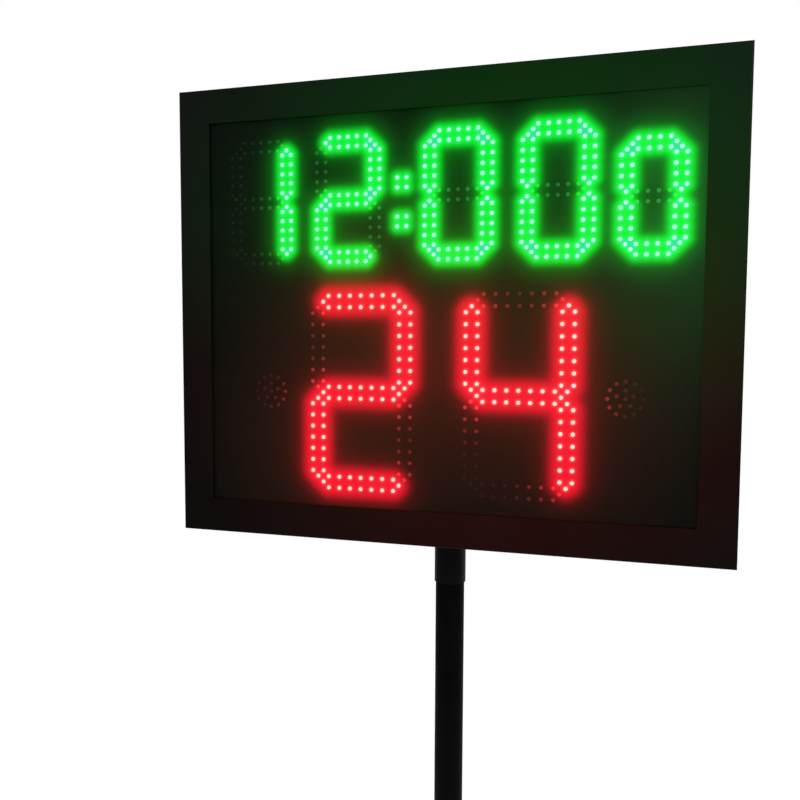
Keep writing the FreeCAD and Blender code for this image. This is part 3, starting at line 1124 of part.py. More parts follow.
def build_fittings():
    """Mains inlet, fuse holder, switch, data socket and horn."""
    nodes = {}
    rim_back = COVER_BACK + INLET_FLANGE_THICKNESS
    body_front = COVER_FRONT - INLET_BODY_DEPTH
    rim = slab(INLET_OFFSET, SOCKET_ROW, INLET_FLANGE_WIDTH, INLET_FLANGE_HEIGHT, COVER_BACK, rim_back)
    rim_edges = [edge for edge in rim.Edges if abs(edge.tangentAt(edge.FirstParameter).y) > 0.5]
    rim = rim.makeFillet(INLET_FLANGE_HEIGHT / 6, rim_edges)
    body = slab(INLET_OFFSET, SOCKET_ROW, INLET_BODY_WIDTH, INLET_BODY_HEIGHT, body_front, COVER_BACK)
    mouth_front = rim_back - INLET_MOUTH_DEPTH
    mouth = slab(INLET_OFFSET, SOCKET_ROW, INLET_MOUTH_WIDTH, INLET_MOUTH_HEIGHT, mouth_front,
                 rim_back + OVERRUN)
    top_edges = [edge for edge in mouth.Edges
                 if abs(edge.tangentAt(edge.FirstParameter).y) > 0.5 and edge.CenterOfMass.z > SOCKET_ROW]
    mouth = mouth.makeChamfer(INLET_MOUTH_CHAMFER, top_edges)
    inlet = one_solid(rim.fuse(body)).cut(mouth)
    screws = []
    for side in SIDES:
        x = INLET_OFFSET + side * INLET_SCREW_SPACING / 2
        bore = INLET_SCREW_DIAMETER + 2 * SCREW_CLEARANCE
        inlet = inlet.cut(bore_y(x, SOCKET_ROW, bore, COVER_BACK, rim_back))
        screws.append(panel_screw(x, SOCKET_ROW, rim_back))
    pins = []
    pin_back = rim_back - INLET_PIN_SETBACK
    for dx, dz in ((-INLET_PIN_SPACING / 2, -INLET_PIN_RISE), (INLET_PIN_SPACING / 2, -INLET_PIN_RISE),
                   (0, INLET_PIN_RISE)):
        pins.append(slab(INLET_OFFSET + dx, SOCKET_ROW + dz, INLET_PIN_THICKNESS, INLET_PIN_WIDTH,
                         mouth_front, pin_back))
    nodes["power_inlet"] = inlet
    nodes["inlet_pins"] = pins

    rim_back = COVER_BACK + DATA_FLANGE_THICKNESS
    rim = slab(-DATA_OFFSET, SOCKET_ROW, DATA_FLANGE_WIDTH, DATA_FLANGE_HEIGHT, COVER_BACK, rim_back)
    body = slab(-DATA_OFFSET, SOCKET_ROW, DATA_BODY_WIDTH, DATA_BODY_HEIGHT, COVER_FRONT - DATA_BODY_DEPTH,
                COVER_BACK)
    mouth = slab(-DATA_OFFSET, SOCKET_ROW, DATA_MOUTH_WIDTH, DATA_MOUTH_HEIGHT, rim_back - DATA_MOUTH_DEPTH,
                 rim_back + OVERRUN)
    socket = one_solid(rim.fuse(body)).cut(mouth)
    for side in SIDES:
        z = SOCKET_ROW + side * DATA_SCREW_SPACING / 2
        bore = INLET_SCREW_DIAMETER + 2 * SCREW_CLEARANCE
        socket = socket.cut(bore_y(-DATA_OFFSET, z, bore, COVER_BACK, rim_back))
        screws.append(panel_screw(-DATA_OFFSET, z, rim_back))
    nodes["data_socket"] = socket
    nodes["fitting_screws"] = screws
    return nodes


def panel_screw(x, z, seat):
    """A small pan-head screw seated on a fitting on the back of the cover."""
    return screw_y(x, z, INLET_SCREW_DIAMETER, INLET_SCREW_HEAD_DIAMETER, INLET_SCREW_HEAD_HEIGHT, seat,
                   COVER_FRONT - COVER_THICKNESS)


def build_switch():
    """The mains switch: its body and the rocker that tips in it."""
    rim_back = COVER_BACK + SWITCH_FLANGE_THICKNESS
    rim = slab(SWITCH_OFFSET, SOCKET_ROW, SWITCH_FLANGE_WIDTH, SWITCH_FLANGE_HEIGHT, COVER_BACK, rim_back)
    body_front = COVER_FRONT - SWITCH_BODY_DEPTH
    body = slab(SWITCH_OFFSET, SOCKET_ROW, SWITCH_BODY_WIDTH, SWITCH_BODY_HEIGHT, body_front, COVER_BACK)
    well_width = SWITCH_BODY_WIDTH - 2 * SWITCH_WALL
    well_height = SWITCH_BODY_HEIGHT - 2 * SWITCH_WALL
    well_front = rim_back - SWITCH_WELL
    well = slab(SWITCH_OFFSET, SOCKET_ROW, well_width, well_height, well_front, rim_back + OVERRUN)
    pivot_y = rim_back - ROCKER_PIVOT_DEPTH
    reach = well_width / 2 + ROCKER_PIN_DEPTH
    socket = rod_x(pivot_y, SOCKET_ROW, ROCKER_PIVOT_DIAMETER + 2 * RUNNING_CLEARANCE,
                   SWITCH_OFFSET - reach - RUNNING_CLEARANCE, SWITCH_OFFSET + reach + RUNNING_CLEARANCE)
    switch = one_solid(rim.fuse(body)).cut(well).cut(socket)

    half_width = well_width / 2 - FREE_CLEARANCE
    radius = well_height / 2 - FREE_CLEARANCE
    rocker = rod_x(pivot_y, SOCKET_ROW, 2 * radius, SWITCH_OFFSET - half_width, SWITCH_OFFSET + half_width)
    below = box(SWITCH_OFFSET - radius, SWITCH_OFFSET + radius, pivot_y - 2 * radius, pivot_y - ROCKER_ROOT,
                SOCKET_ROW - 2 * radius, SOCKET_ROW + 2 * radius)
    crown = pivot_y + ROCKER_CROWN
    far = pivot_y + 2 * radius
    dish = [V(SWITCH_OFFSET - radius, crown, SOCKET_ROW),
            V(SWITCH_OFFSET - radius, crown + ROCKER_DISH, SOCKET_ROW + radius),
            V(SWITCH_OFFSET - radius, far, SOCKET_ROW + radius),
            V(SWITCH_OFFSET - radius, far, SOCKET_ROW - radius),
            V(SWITCH_OFFSET - radius, crown + ROCKER_DISH, SOCKET_ROW - radius),
            V(SWITCH_OFFSET - radius, crown, SOCKET_ROW)]
    above = Part.Face(Part.makePolygon(dish)).extrude(X_AXIS * (2 * radius))
    pin = rod_x(pivot_y, SOCKET_ROW, ROCKER_PIVOT_DIAMETER, SWITCH_OFFSET - reach, SWITCH_OFFSET + reach)
    rocker = one_solid(rocker.cut(below).cut(above).fuse(pin))
    rocker.rotate(V(SWITCH_OFFSET, pivot_y, SOCKET_ROW), X_AXIS, ROCKER_TILT_DEG)
    return {"switch_body": switch, "switch_rocker": rocker}


def build_fuse():
    """The fuse holder with its link and its quarter-turn cap."""
    rim_back = COVER_BACK + FUSE_FLANGE_THICKNESS
    body_front = COVER_FRONT - FUSE_BODY_DEPTH
    barrel = rod_y(FUSE_OFFSET, SOCKET_ROW, FUSE_BODY_DIAMETER, body_front, COVER_BACK)
    rim = rod_y(FUSE_OFFSET, SOCKET_ROW, FUSE_FLANGE_DIAMETER, COVER_BACK, rim_back)
    seat = body_front + FUSE_WALL
    chamber_diameter = FUSE_LINK_DIAMETER + 2 * RUNNING_CLEARANCE
    chamber = rod_y(FUSE_OFFSET, SOCKET_ROW, chamber_diameter, seat, rim_back + OVERRUN)
    stem_front = rim_back - FUSE_CAP_STEM_LENGTH
    mouth = rod_y(FUSE_OFFSET, SOCKET_ROW, FUSE_CAP_STEM_DIAMETER + 2 * RUNNING_CLEARANCE,
                  stem_front - FREE_CLEARANCE, rim_back + OVERRUN)
    holder = one_solid(barrel.fuse(rim)).cut(chamber).cut(mouth)
    link = rod_y(FUSE_OFFSET, SOCKET_ROW, FUSE_LINK_DIAMETER, seat, min(seat + FUSE_LINK_LENGTH, stem_front))
    cap_back = rim_back + FUSE_CAP_PROUD
    cap = rod_y(FUSE_OFFSET, SOCKET_ROW, FUSE_CAP_DIAMETER, rim_back + FREE_CLEARANCE, cap_back)
    stem = rod_y(FUSE_OFFSET, SOCKET_ROW, FUSE_CAP_STEM_DIAMETER, stem_front, rim_back + FREE_CLEARANCE)
    slot = slab(FUSE_OFFSET, SOCKET_ROW, 2 * FUSE_CAP_DIAMETER, FUSE_CAP_SLOT_WIDTH,
                cap_back - FUSE_CAP_SLOT_DEPTH, cap_back + OVERRUN)
    return {"fuse_holder": holder, "fuse_link": link, "fuse_cap": one_solid(cap.fuse(stem).cut(slot))}


def build_horn():
    """The horn behind the cover and the grille over it."""
    x = HORN_X
    z = HORN_LEVEL
    back = COVER_FRONT
    front = COVER_FRONT - HORN_DEPTH
    can = rod_y(x, z, HORN_DIAMETER, front, back)
    flange = rod_y(x, z, HORN_GRILLE_DIAMETER, back - HORN_FLANGE_THICKNESS, back)
    hollow = rod_y(x, z, HORN_DIAMETER - 2 * HORN_WALL, front + HORN_WALL, back + OVERRUN)
    horn = one_solid(can.fuse(flange)).cut(hollow)
    cone_seat = front + HORN_WALL
    cone = Part.makeCone(HORN_DIAMETER / 2 - HORN_WALL, HORN_CONE_DIAMETER / 2, HORN_CONE_HEIGHT,
                         V(x, cone_seat, z), Y_AXIS)
    grille_back = COVER_BACK + HORN_GRILLE_THICKNESS
    grille = rod_y(x, z, HORN_GRILLE_DIAMETER, COVER_BACK, grille_back)
    holes = [bore_y(hole_x, hole_z, HORN_HOLE_DIAMETER, COVER_BACK, grille_back)
             for hole_x, hole_z in horn_holes()]
    grille = grille.cut(Part.makeCompound(holes))
    screws = []
    nut_back = back - HORN_FLANGE_THICKNESS
    bore = BOARD_SCREW_DIAMETER + 2 * SCREW_CLEARANCE
    for hole_x, hole_z in horn_screw_places():
        cut = bore_y(hole_x, hole_z, bore, front, grille_back)
        grille = grille.cut(cut)
        horn = horn.cut(cut)
        screws.append(screw_y(hole_x, hole_z, BOARD_SCREW_DIAMETER, BOARD_SCREW_HEAD_DIAMETER,
                              BOARD_SCREW_HEAD_HEIGHT, grille_back, nut_back - STRIP_NUT_HEIGHT))
        screws.append(nut_y(hole_x, hole_z, BOARD_SCREW_DIAMETER, STRIP_NUT_FLATS,
                            nut_back - STRIP_NUT_HEIGHT, nut_back))
    return {"horn_body": horn, "horn_cone": cone, "horn_grille": grille, "fitting_screws": screws}


def knob(seat, direction, screw_length):
    """A lobed clamping knob and its screw, from the hub's face outwards along a direction."""
    core_radius = (KNOB_DIAMETER - KNOB_LOBE_DIAMETER) / 2
    hub = Part.makeCylinder(KNOB_HUB_DIAMETER / 2, KNOB_HUB_LENGTH, V(0, 0, 0), Z_AXIS)
    grip = Part.makeCylinder(core_radius, KNOB_THICKNESS, V(0, 0, KNOB_HUB_LENGTH), Z_AXIS)
    lobes = []
    for step in range(KNOB_LOBE_COUNT):
        angle = 2 * math.pi * step / KNOB_LOBE_COUNT
        centre = V(core_radius * math.cos(angle), core_radius * math.sin(angle), KNOB_HUB_LENGTH)
        lobe = Part.makeCylinder(KNOB_LOBE_DIAMETER / 2, KNOB_THICKNESS, centre, Z_AXIS)
        lobes.append(lobe.makeFillet(KNOB_EDGE_RADIUS, [lobe.Edges[0], lobe.Edges[2]]))
    bore = Part.makeCylinder(KNOB_SCREW_DIAMETER / 2 + RUNNING_CLEARANCE, KNOB_SCREW_GRIP + OVERRUN,
                             V(0, 0, -OVERRUN), Z_AXIS)
    grip = one_solid(grip.multiFuse(lobes + [hub])).cut(bore)
    screw = rod_z(0, 0, KNOB_SCREW_DIAMETER, -screw_length, KNOB_SCREW_GRIP)
    turn = FreeCAD.Placement(seat, FreeCAD.Rotation(Z_AXIS, direction))
    return grip.transformed(turn.toMatrix(), True), screw.transformed(turn.toMatrix(), True)


def build_sleeve():
    """The sleeve on the back of the housing, its saddles, bolts, cap and clamping knob."""
    nodes = {}
    sleeve = rod_z(0, 0, SLEEVE_DIAMETER, SLEEVE_BOTTOM, SLEEVE_TOP)
    bore = bore_z(0, 0, 2 * SLEEVE_BORE, SLEEVE_BOTTOM, SLEEVE_TOP)
    knob_z = SLEEVE_BOTTOM + HEAD_KNOB_RISE
    boss_end = SLEEVE_RADIUS + HEAD_BOSS_LENGTH
    screw_bore = rod_y(0, knob_z, KNOB_SCREW_DIAMETER + 2 * RUNNING_CLEARANCE, 0, boss_end + OVERRUN)
    boss = rod_y(0, knob_z, HEAD_BOSS_DIAMETER, 0, boss_end)
    nodes["pole_sleeve"] = one_solid(sleeve.fuse(boss)).cut(bore).cut(screw_bore)
    seat = V(0, boss_end + FREE_CLEARANCE, knob_z)
    reach = seat.y - POLE_RADIUS - FREE_CLEARANCE
    nodes["head_knob"], nodes["head_knob_screw"] = knob(seat, Y_AXIS, reach)

    saddles = []
    for level in saddle_levels():
        plate_back = COVER_BACK + SADDLE_THICKNESS
        plate = slab(0, level, SADDLE_WIDTH, SADDLE_HEIGHT, COVER_BACK, plate_back)
        ribs = [slab(side * SADDLE_RIB_SPREAD / 2, level, SADDLE_RIB_THICKNESS, SADDLE_HEIGHT, COVER_BACK, 0)
                for side in SIDES]
        saddles.append(one_solid(plate.multiFuse(ribs).cut(sleeve)))
    bolts = []
    nuts = []
    bolt_bore = SADDLE_BOLT_DIAMETER + 2 * SCREW_CLEARANCE
    for x, z in saddle_bolt_places():
        plate_back = COVER_BACK + SADDLE_THICKNESS
        spine_front = COVER_FRONT - SPINE_THICKNESS
        hole = bore_y(x, z, bolt_bore, COVER_BACK, plate_back)
        saddles = [saddle.cut(hole) for saddle in saddles]
        head = hexagon(V(x, plate_back, z), Y_AXIS, SADDLE_BOLT_FLATS, SADDLE_BOLT_HEAD_HEIGHT)
        nut_front = spine_front - SADDLE_NUT_HEIGHT
        shank = rod_y(x, z, SADDLE_BOLT_DIAMETER, nut_front, plate_back)
        bolts.append(one_solid(head.fuse(shank)))
        nuts.append(nut_y(x, z, SADDLE_BOLT_DIAMETER, SADDLE_BOLT_FLATS, nut_front, spine_front))
    nodes["sleeve_saddles"] = saddles
    nodes["saddle_bolts"] = bolts + nuts

    cap = rod_z(0, 0, SLEEVE_DIAMETER, SLEEVE_TOP, SLEEVE_TOP + SLEEVE_CAP_THICKNESS)
    cap = cap.makeFillet(SLEEVE_CAP_THICKNESS / 3, [cap.Edges[0]])
    lip = rod_z(0, 0, 2 * POLE_RADIUS, SLEEVE_TOP - SLEEVE_CAP_LIP, SLEEVE_TOP + SLEEVE_CAP_THICKNESS / 3)
    nodes["sleeve_cap"] = one_solid(cap.fuse(lip))
    return nodes


def build_pole():
    """The sliding pole with its plug and its shoe."""
    pole = rod_z(0, 0, POLE_DIAMETER, POLE_BOTTOM, POLE_TOP)
    pole_bore = POLE_DIAMETER - 2 * POLE_WALL
    pole = pole.cut(bore_z(0, 0, pole_bore, POLE_BOTTOM, POLE_TOP))
    plug = rod_z(0, 0, pole_bore - 2 * RUNNING_CLEARANCE, POLE_TOP - POLE_PLUG_LENGTH, POLE_TOP)
    shoe_bottom = POLE_BOTTOM - POLE_SHOE_FLANGE
    shoe_diameter = 2 * (TUBE_BORE - 2 * RUNNING_CLEARANCE)
    shoe_top = shoe_bottom + POLE_SHOE_LENGTH
    shoe = rod_z(0, 0, shoe_diameter, shoe_bottom, shoe_top)
    seat = rod_z(0, 0, POLE_DIAMETER + 2 * RUNNING_CLEARANCE, POLE_BOTTOM, shoe_top + OVERRUN)
    hole = bore_z(0, 0, pole_bore, shoe_bottom, POLE_BOTTOM)
    return {"pole": pole, "pole_plug": plug, "pole_shoe": shoe.cut(seat).cut(hole)}


def build_lower_tube():
    """The lower tube with its bush, collar and clamping knob."""
    nodes = {}
    tube = rod_z(0, 0, TUBE_DIAMETER, BASE_TOP, TUBE_TOP)
    nodes["lower_tube"] = tube.cut(bore_z(0, 0, 2 * TUBE_BORE, BASE_TOP, TUBE_TOP))
    bush = rod_z(0, 0, 2 * (TUBE_BORE - RUNNING_CLEARANCE), TUBE_TOP - BUSH_LENGTH, TUBE_TOP)
    bush_rim = rod_z(0, 0, TUBE_DIAMETER, TUBE_TOP, TUBE_TOP + BUSH_FLANGE)
    way_diameter = POLE_DIAMETER + 2 * RUNNING_CLEARANCE
    pole_way = bore_z(0, 0, way_diameter, TUBE_TOP - BUSH_LENGTH, TUBE_TOP + BUSH_FLANGE)
    nodes["pole_bush"] = one_solid(bush.fuse(bush_rim)).cut(pole_way)

    collar_bottom = TUBE_TOP - COLLAR_BELOW
    collar_top = TUBE_TOP + COLLAR_ABOVE
    collar = rod_z(0, 0, COLLAR_DIAMETER, collar_bottom, collar_top)
    collar = collar.makeFillet(COLLAR_EDGE_RADIUS, [collar.Edges[0], collar.Edges[2]])
    knob_z = TUBE_TOP + BUSH_FLANGE + (COLLAR_ABOVE - BUSH_FLANGE) / 2
    boss = rod_x(0, knob_z, COLLAR_ABOVE - BUSH_FLANGE, 0, COLLAR_BOSS_REACH)
    shelf = TUBE_TOP + BUSH_FLANGE
    tube_seat = rod_z(0, 0, TUBE_DIAMETER + 2 * RUNNING_CLEARANCE, collar_bottom - OVERRUN, shelf)
    pole_hole = bore_z(0, 0, POLE_DIAMETER + 2 * FREE_CLEARANCE, collar_bottom, collar_top)
    screw_bore = rod_x(0, knob_z, KNOB_SCREW_DIAMETER + 2 * RUNNING_CLEARANCE, 0, COLLAR_BOSS_REACH + OVERRUN)
    nodes["clamp_collar"] = one_solid(collar.fuse(boss)).cut(tube_seat).cut(pole_hole).cut(screw_bore)
    seat = V(COLLAR_BOSS_REACH + FREE_CLEARANCE, 0, knob_z)
    reach = seat.x - POLE_RADIUS - FREE_CLEARANCE
    nodes["collar_knob"], nodes["collar_knob_screw"] = knob(seat, X_AXIS, reach)
    return nodes


def build_base():
    """Base plate with its feet, and the hub that the lower tube stands in."""
    nodes = {}
    half = BASE_SIZE / 2
    plate = box(-half, half, -half, half, FOOT_HEIGHT, BASE_TOP)
    upright = [edge for edge in plate.Edges if abs(edge.tangentAt(edge.FirstParameter).z) > 0.5]
    plate = plate.makeFillet(BASE_CORNER_RADIUS, upright)
    feet = []
    screws = []
    place = half - FOOT_INSET
    for x, y in corners_of(place, place):
        foot = rod_z(x, y, FOOT_DIAMETER, 0, FOOT_HEIGHT)
        foot = foot.makeFillet(FOOT_HEIGHT / 6, [foot.Edges[2]])
        thread = FOOT_HEIGHT - FOOT_SCREW_DEPTH
        bore = FOOT_SCREW_DIAMETER + 2 * RUNNING_CLEARANCE
        feet.append(foot.cut(rod_z(x, y, bore, thread, FOOT_HEIGHT + OVERRUN)))
        plate = plate.cut(bore_z(x, y, FOOT_SCREW_DIAMETER + 2 * SCREW_CLEARANCE, FOOT_HEIGHT, BASE_TOP))
        head = rod_z(x, y, FOOT_SCREW_HEAD_DIAMETER, BASE_TOP, BASE_TOP + FOOT_SCREW_HEAD_HEIGHT)
        shank = rod_z(x, y, FOOT_SCREW_DIAMETER, thread, BASE_TOP)
        screws.append(one_solid(head.fuse(shank)))

    flange_top = BASE_TOP + HUB_FLANGE_THICKNESS
    hub = rod_z(0, 0, HUB_FLANGE_DIAMETER, BASE_TOP, flange_top)
    hub = hub.fuse(rod_z(0, 0, HUB_DIAMETER, BASE_TOP, BASE_TOP + HUB_HEIGHT)).removeSplitter()
    root = [edge for edge in hub.Edges if abs(edge.CenterOfMass.z - flange_top) < OVERRUN
            and edge.BoundBox.XLength < HUB_DIAMETER + OVERRUN]
    hub = hub.makeFillet(HUB_FILLET, root)
    hub = hub.cut(bore_z(0, 0, TUBE_DIAMETER + 2 * RUNNING_CLEARANCE, BASE_TOP, BASE_TOP + HUB_HEIGHT))
    bolts = []
    for step in range(HUB_BOLT_COUNT):
        angle = 2 * math.pi * (step + 0.5) / HUB_BOLT_COUNT
        x = HUB_BOLT_CIRCLE / 2 * math.cos(angle)
        y = HUB_BOLT_CIRCLE / 2 * math.sin(angle)
        hub = hub.cut(bore_z(x, y, HUB_BOLT_DIAMETER + 2 * SCREW_CLEARANCE, BASE_TOP, flange_top))
        thread = HUB_BOLT_DIAMETER + 2 * RUNNING_CLEARANCE
        plate = plate.cut(bore_z(x, y, thread, FOOT_HEIGHT, BASE_TOP))
        head = hexagon(V(x, y, flange_top), Z_AXIS, HUB_BOLT_FLATS, HUB_BOLT_HEAD_HEIGHT)
        shank = rod_z(x, y, HUB_BOLT_DIAMETER, FOOT_HEIGHT, flange_top)
        bolts.append(one_solid(head.fuse(shank)))
    grubs = []
    for step in range(HUB_GRUB_COUNT):
        turn = FreeCAD.Placement(V(0, 0, BASE_TOP + HUB_GRUB_RISE),
                                 FreeCAD.Rotation(Z_AXIS, 360 * step / HUB_GRUB_COUNT))
        bore = rod_x(0, 0, HUB_GRUB_DIAMETER + 2 * RUNNING_CLEARANCE, 0, HUB_DIAMETER / 2 + OVERRUN)
        grub = rod_x(0, 0, HUB_GRUB_DIAMETER, TUBE_RADIUS + RUNNING_CLEARANCE, HUB_DIAMETER / 2)
        hub = hub.cut(bore.transformed(turn.toMatrix(), True))
        grubs.append(grub.transformed(turn.toMatrix(), True))
    nodes["base_plate"] = plate
    nodes["rubber_feet"] = feet
    nodes["base_hub"] = hub
    nodes["base_fasteners"] = screws + bolts + grubs
    return nodes


def write(nodes):
    """Write one file per node and print what it holds."""
    os.makedirs("parts", exist_ok=True)
    for name, content in sorted(nodes.items()):
        solids = content if isinstance(content, list) else [content]
        shape = Part.makeCompound(solids) if len(solids) > 1 else solids[0]
        assert shape.isValid(), name
        shape.exportStep("parts/" + name + ".step")
        print(name, len(shape.Solids), "solids, volume", round(shape.Volume / 1000, 2), "cm3")
    print(len(nodes), "nodes")


BUILDERS = (
    build_housing, build_boards, build_chassis, build_cover, build_control, build_aerial, build_supply,
    build_fittings, build_switch, build_fuse, build_horn, build_sleeve, build_pole, build_lower_tube,
    build_base,
)
model = {}
for build in BUILDERS:
    for node, content in build().items():
        model[node] = model[node] + content if node in model else content
write(model)
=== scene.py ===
"""Looks of a shot clock on a telescopic floor stand, and the studio that it stands in.

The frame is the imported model: metres, +Z up, with the display towards -Y. Sizes whose names end in _mm are
in millimetres.
"""

import logging
from dataclasses import dataclass
from enum import Enum
from typing import Any

import bpy
import numpy as np
from mathutils import Matrix, Vector


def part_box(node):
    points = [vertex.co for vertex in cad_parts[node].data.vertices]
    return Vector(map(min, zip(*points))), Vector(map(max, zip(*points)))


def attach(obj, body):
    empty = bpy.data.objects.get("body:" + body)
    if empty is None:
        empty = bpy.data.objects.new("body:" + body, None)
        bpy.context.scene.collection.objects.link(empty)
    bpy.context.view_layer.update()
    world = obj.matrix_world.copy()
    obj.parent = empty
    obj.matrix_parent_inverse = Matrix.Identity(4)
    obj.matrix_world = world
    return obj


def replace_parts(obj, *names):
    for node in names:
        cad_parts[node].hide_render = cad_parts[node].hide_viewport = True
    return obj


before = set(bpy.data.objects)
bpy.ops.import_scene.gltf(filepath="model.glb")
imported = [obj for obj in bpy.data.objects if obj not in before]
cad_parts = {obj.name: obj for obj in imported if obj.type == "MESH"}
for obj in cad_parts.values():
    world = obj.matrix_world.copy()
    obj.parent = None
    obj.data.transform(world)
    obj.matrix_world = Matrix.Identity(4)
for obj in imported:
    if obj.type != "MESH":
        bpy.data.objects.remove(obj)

LOG = logging.getLogger("shot_clock")
MM = 0.001
SIDES = (-1, 1)

Tree = bpy.types.NodeTree
Node = bpy.types.Node
Socket = bpy.types.NodeSocket
Triple = tuple[float, float, float]
Colour = tuple[float, float, float, float]
# The vertices, the quads and the triangles of a mesh
Shape = tuple[np.ndarray, np.ndarray, np.ndarray]

BLACK: Colour = (0.0, 0.0, 0.0, 1.0)
WHITE: Colour = (1.0, 1.0, 1.0, 1.0)

# The sRGB curve: straight up to the knee, and a power from there on
SRGB_KNEE = 0.04045
SRGB_SLOPE = 12.92
SRGB_OFFSET = 0.055
SRGB_POWER = 2.4

# The settings of a Mix node for colours, and its sockets
COLOUR_MIX = {"data_type": "RGBA"}
MIX_FACTOR = 0
MIX_A = 6
MIX_B = 7
MIX_RESULT = 2

# The values of a noise between which a pattern fades from none to full
FADE_START = 0.3
FADE_END = 0.7

# The samples with which the light on an edge is rounded
EDGE_SAMPLES = 4


def linear(code: str) -> Colour:
    """Turns an sRGB hex colour into linear light.

    Args:
        code: the colour as "#RRGGBB".

    Returns:
        Red, green, blue and an alpha of one.
    """
    channels = np.array([int(code[start:start + 2], 16) for start in (1, 3, 5)]) / 255.0
    curved = ((channels + SRGB_OFFSET) / (1 + SRGB_OFFSET)) ** SRGB_POWER
    light = np.where(channels <= SRGB_KNEE, channels / SRGB_SLOPE, curved)
    return (float(light[0]), float(light[1]), float(light[2]), 1.0)


def rgb(code: str) -> np.ndarray:
    """The linear red, green and blue of an sRGB hex colour."""
    return np.array(linear(code)[:3])


def per_metre(size_mm: float) -> float:
    """Pattern scale at which one feature measures size_mm on Object coordinates."""
    return 1.0 / (size_mm * MM)


def add_node(tree: Tree, kind: str, settings: dict[str, Any] | None = None,
             inputs: dict[str | int, Any] | None = None) -> Node:
    """Adds a node with its settings and links.

    Args:
        tree: the node tree of a material or a world.
        kind: the type of the node, such as "ShaderNodeTexNoise".
        settings: attributes of the node by name.
        inputs: a value or the socket of another node, by the name or index of the input.

    Returns:
        The node.
    """
    node = tree.nodes.new(kind)
    for name, value in (settings or {}).items():
        setattr(node, name, value)
    for key, value in (inputs or {}).items():
        if isinstance(value, Socket):
            tree.links.new(value, node.inputs[key])
        else:
            node.inputs[key].default_value = value
    return node


def noise(tree: Tree, size_mm: float, detail: float = 2.0, stretch: Triple = (1.0, 1.0, 1.0)) -> Socket:
    """Noise on Object coordinates.

    Args:
        tree: the node tree.
        size_mm: the size of one feature.
        detail: how many finer layers the noise has.
        stretch: how much finer the pattern is along X, Y and Z. Less than one draws it out.

    Returns:
        The socket of its value, from 0 to 1.
    """
    place = add_node(tree, "ShaderNodeTexCoord").outputs["Object"]
    drawn = add_node(tree, "ShaderNodeMapping", inputs={"Vector": place, "Scale": stretch}).outputs["Vector"]
    return add_node(tree, "ShaderNodeTexNoise",
                    inputs={"Vector": drawn, "Scale": per_metre(size_mm), "Detail": detail}).outputs["Fac"]


def blob(tree: Tree, centre: Triple, radii: Triple) -> Socket:
    """A soft ellipsoid on Object coordinates, one at its centre and zero from its surface outwards.

    Args:
        tree: the node tree.
        centre: the middle of the ellipsoid in metres.
        radii: its half sizes in metres.

    Returns:
        The socket of its value.
    """
    place = add_node(tree, "ShaderNodeTexCoord").outputs["Object"]
    moved = add_node(tree, "ShaderNodeVectorMath", {"operation": "SUBTRACT"}, {0: place, 1: centre})
    scaled = add_node(tree, "ShaderNodeVectorMath", {"operation": "DIVIDE"}, {0: moved.outputs[0], 1: radii})
    reach = add_node(tree, "ShaderNodeVectorMath", {"operation": "LENGTH"}, {0: scaled.outputs[0]})
    return add_node(tree, "ShaderNodeMapRange", {"interpolation_type": "SMOOTHSTEP"},
                    {"Value": reach.outputs["Value"], "To Min": 1.0, "To Max": 0.0}).outputs["Result"]


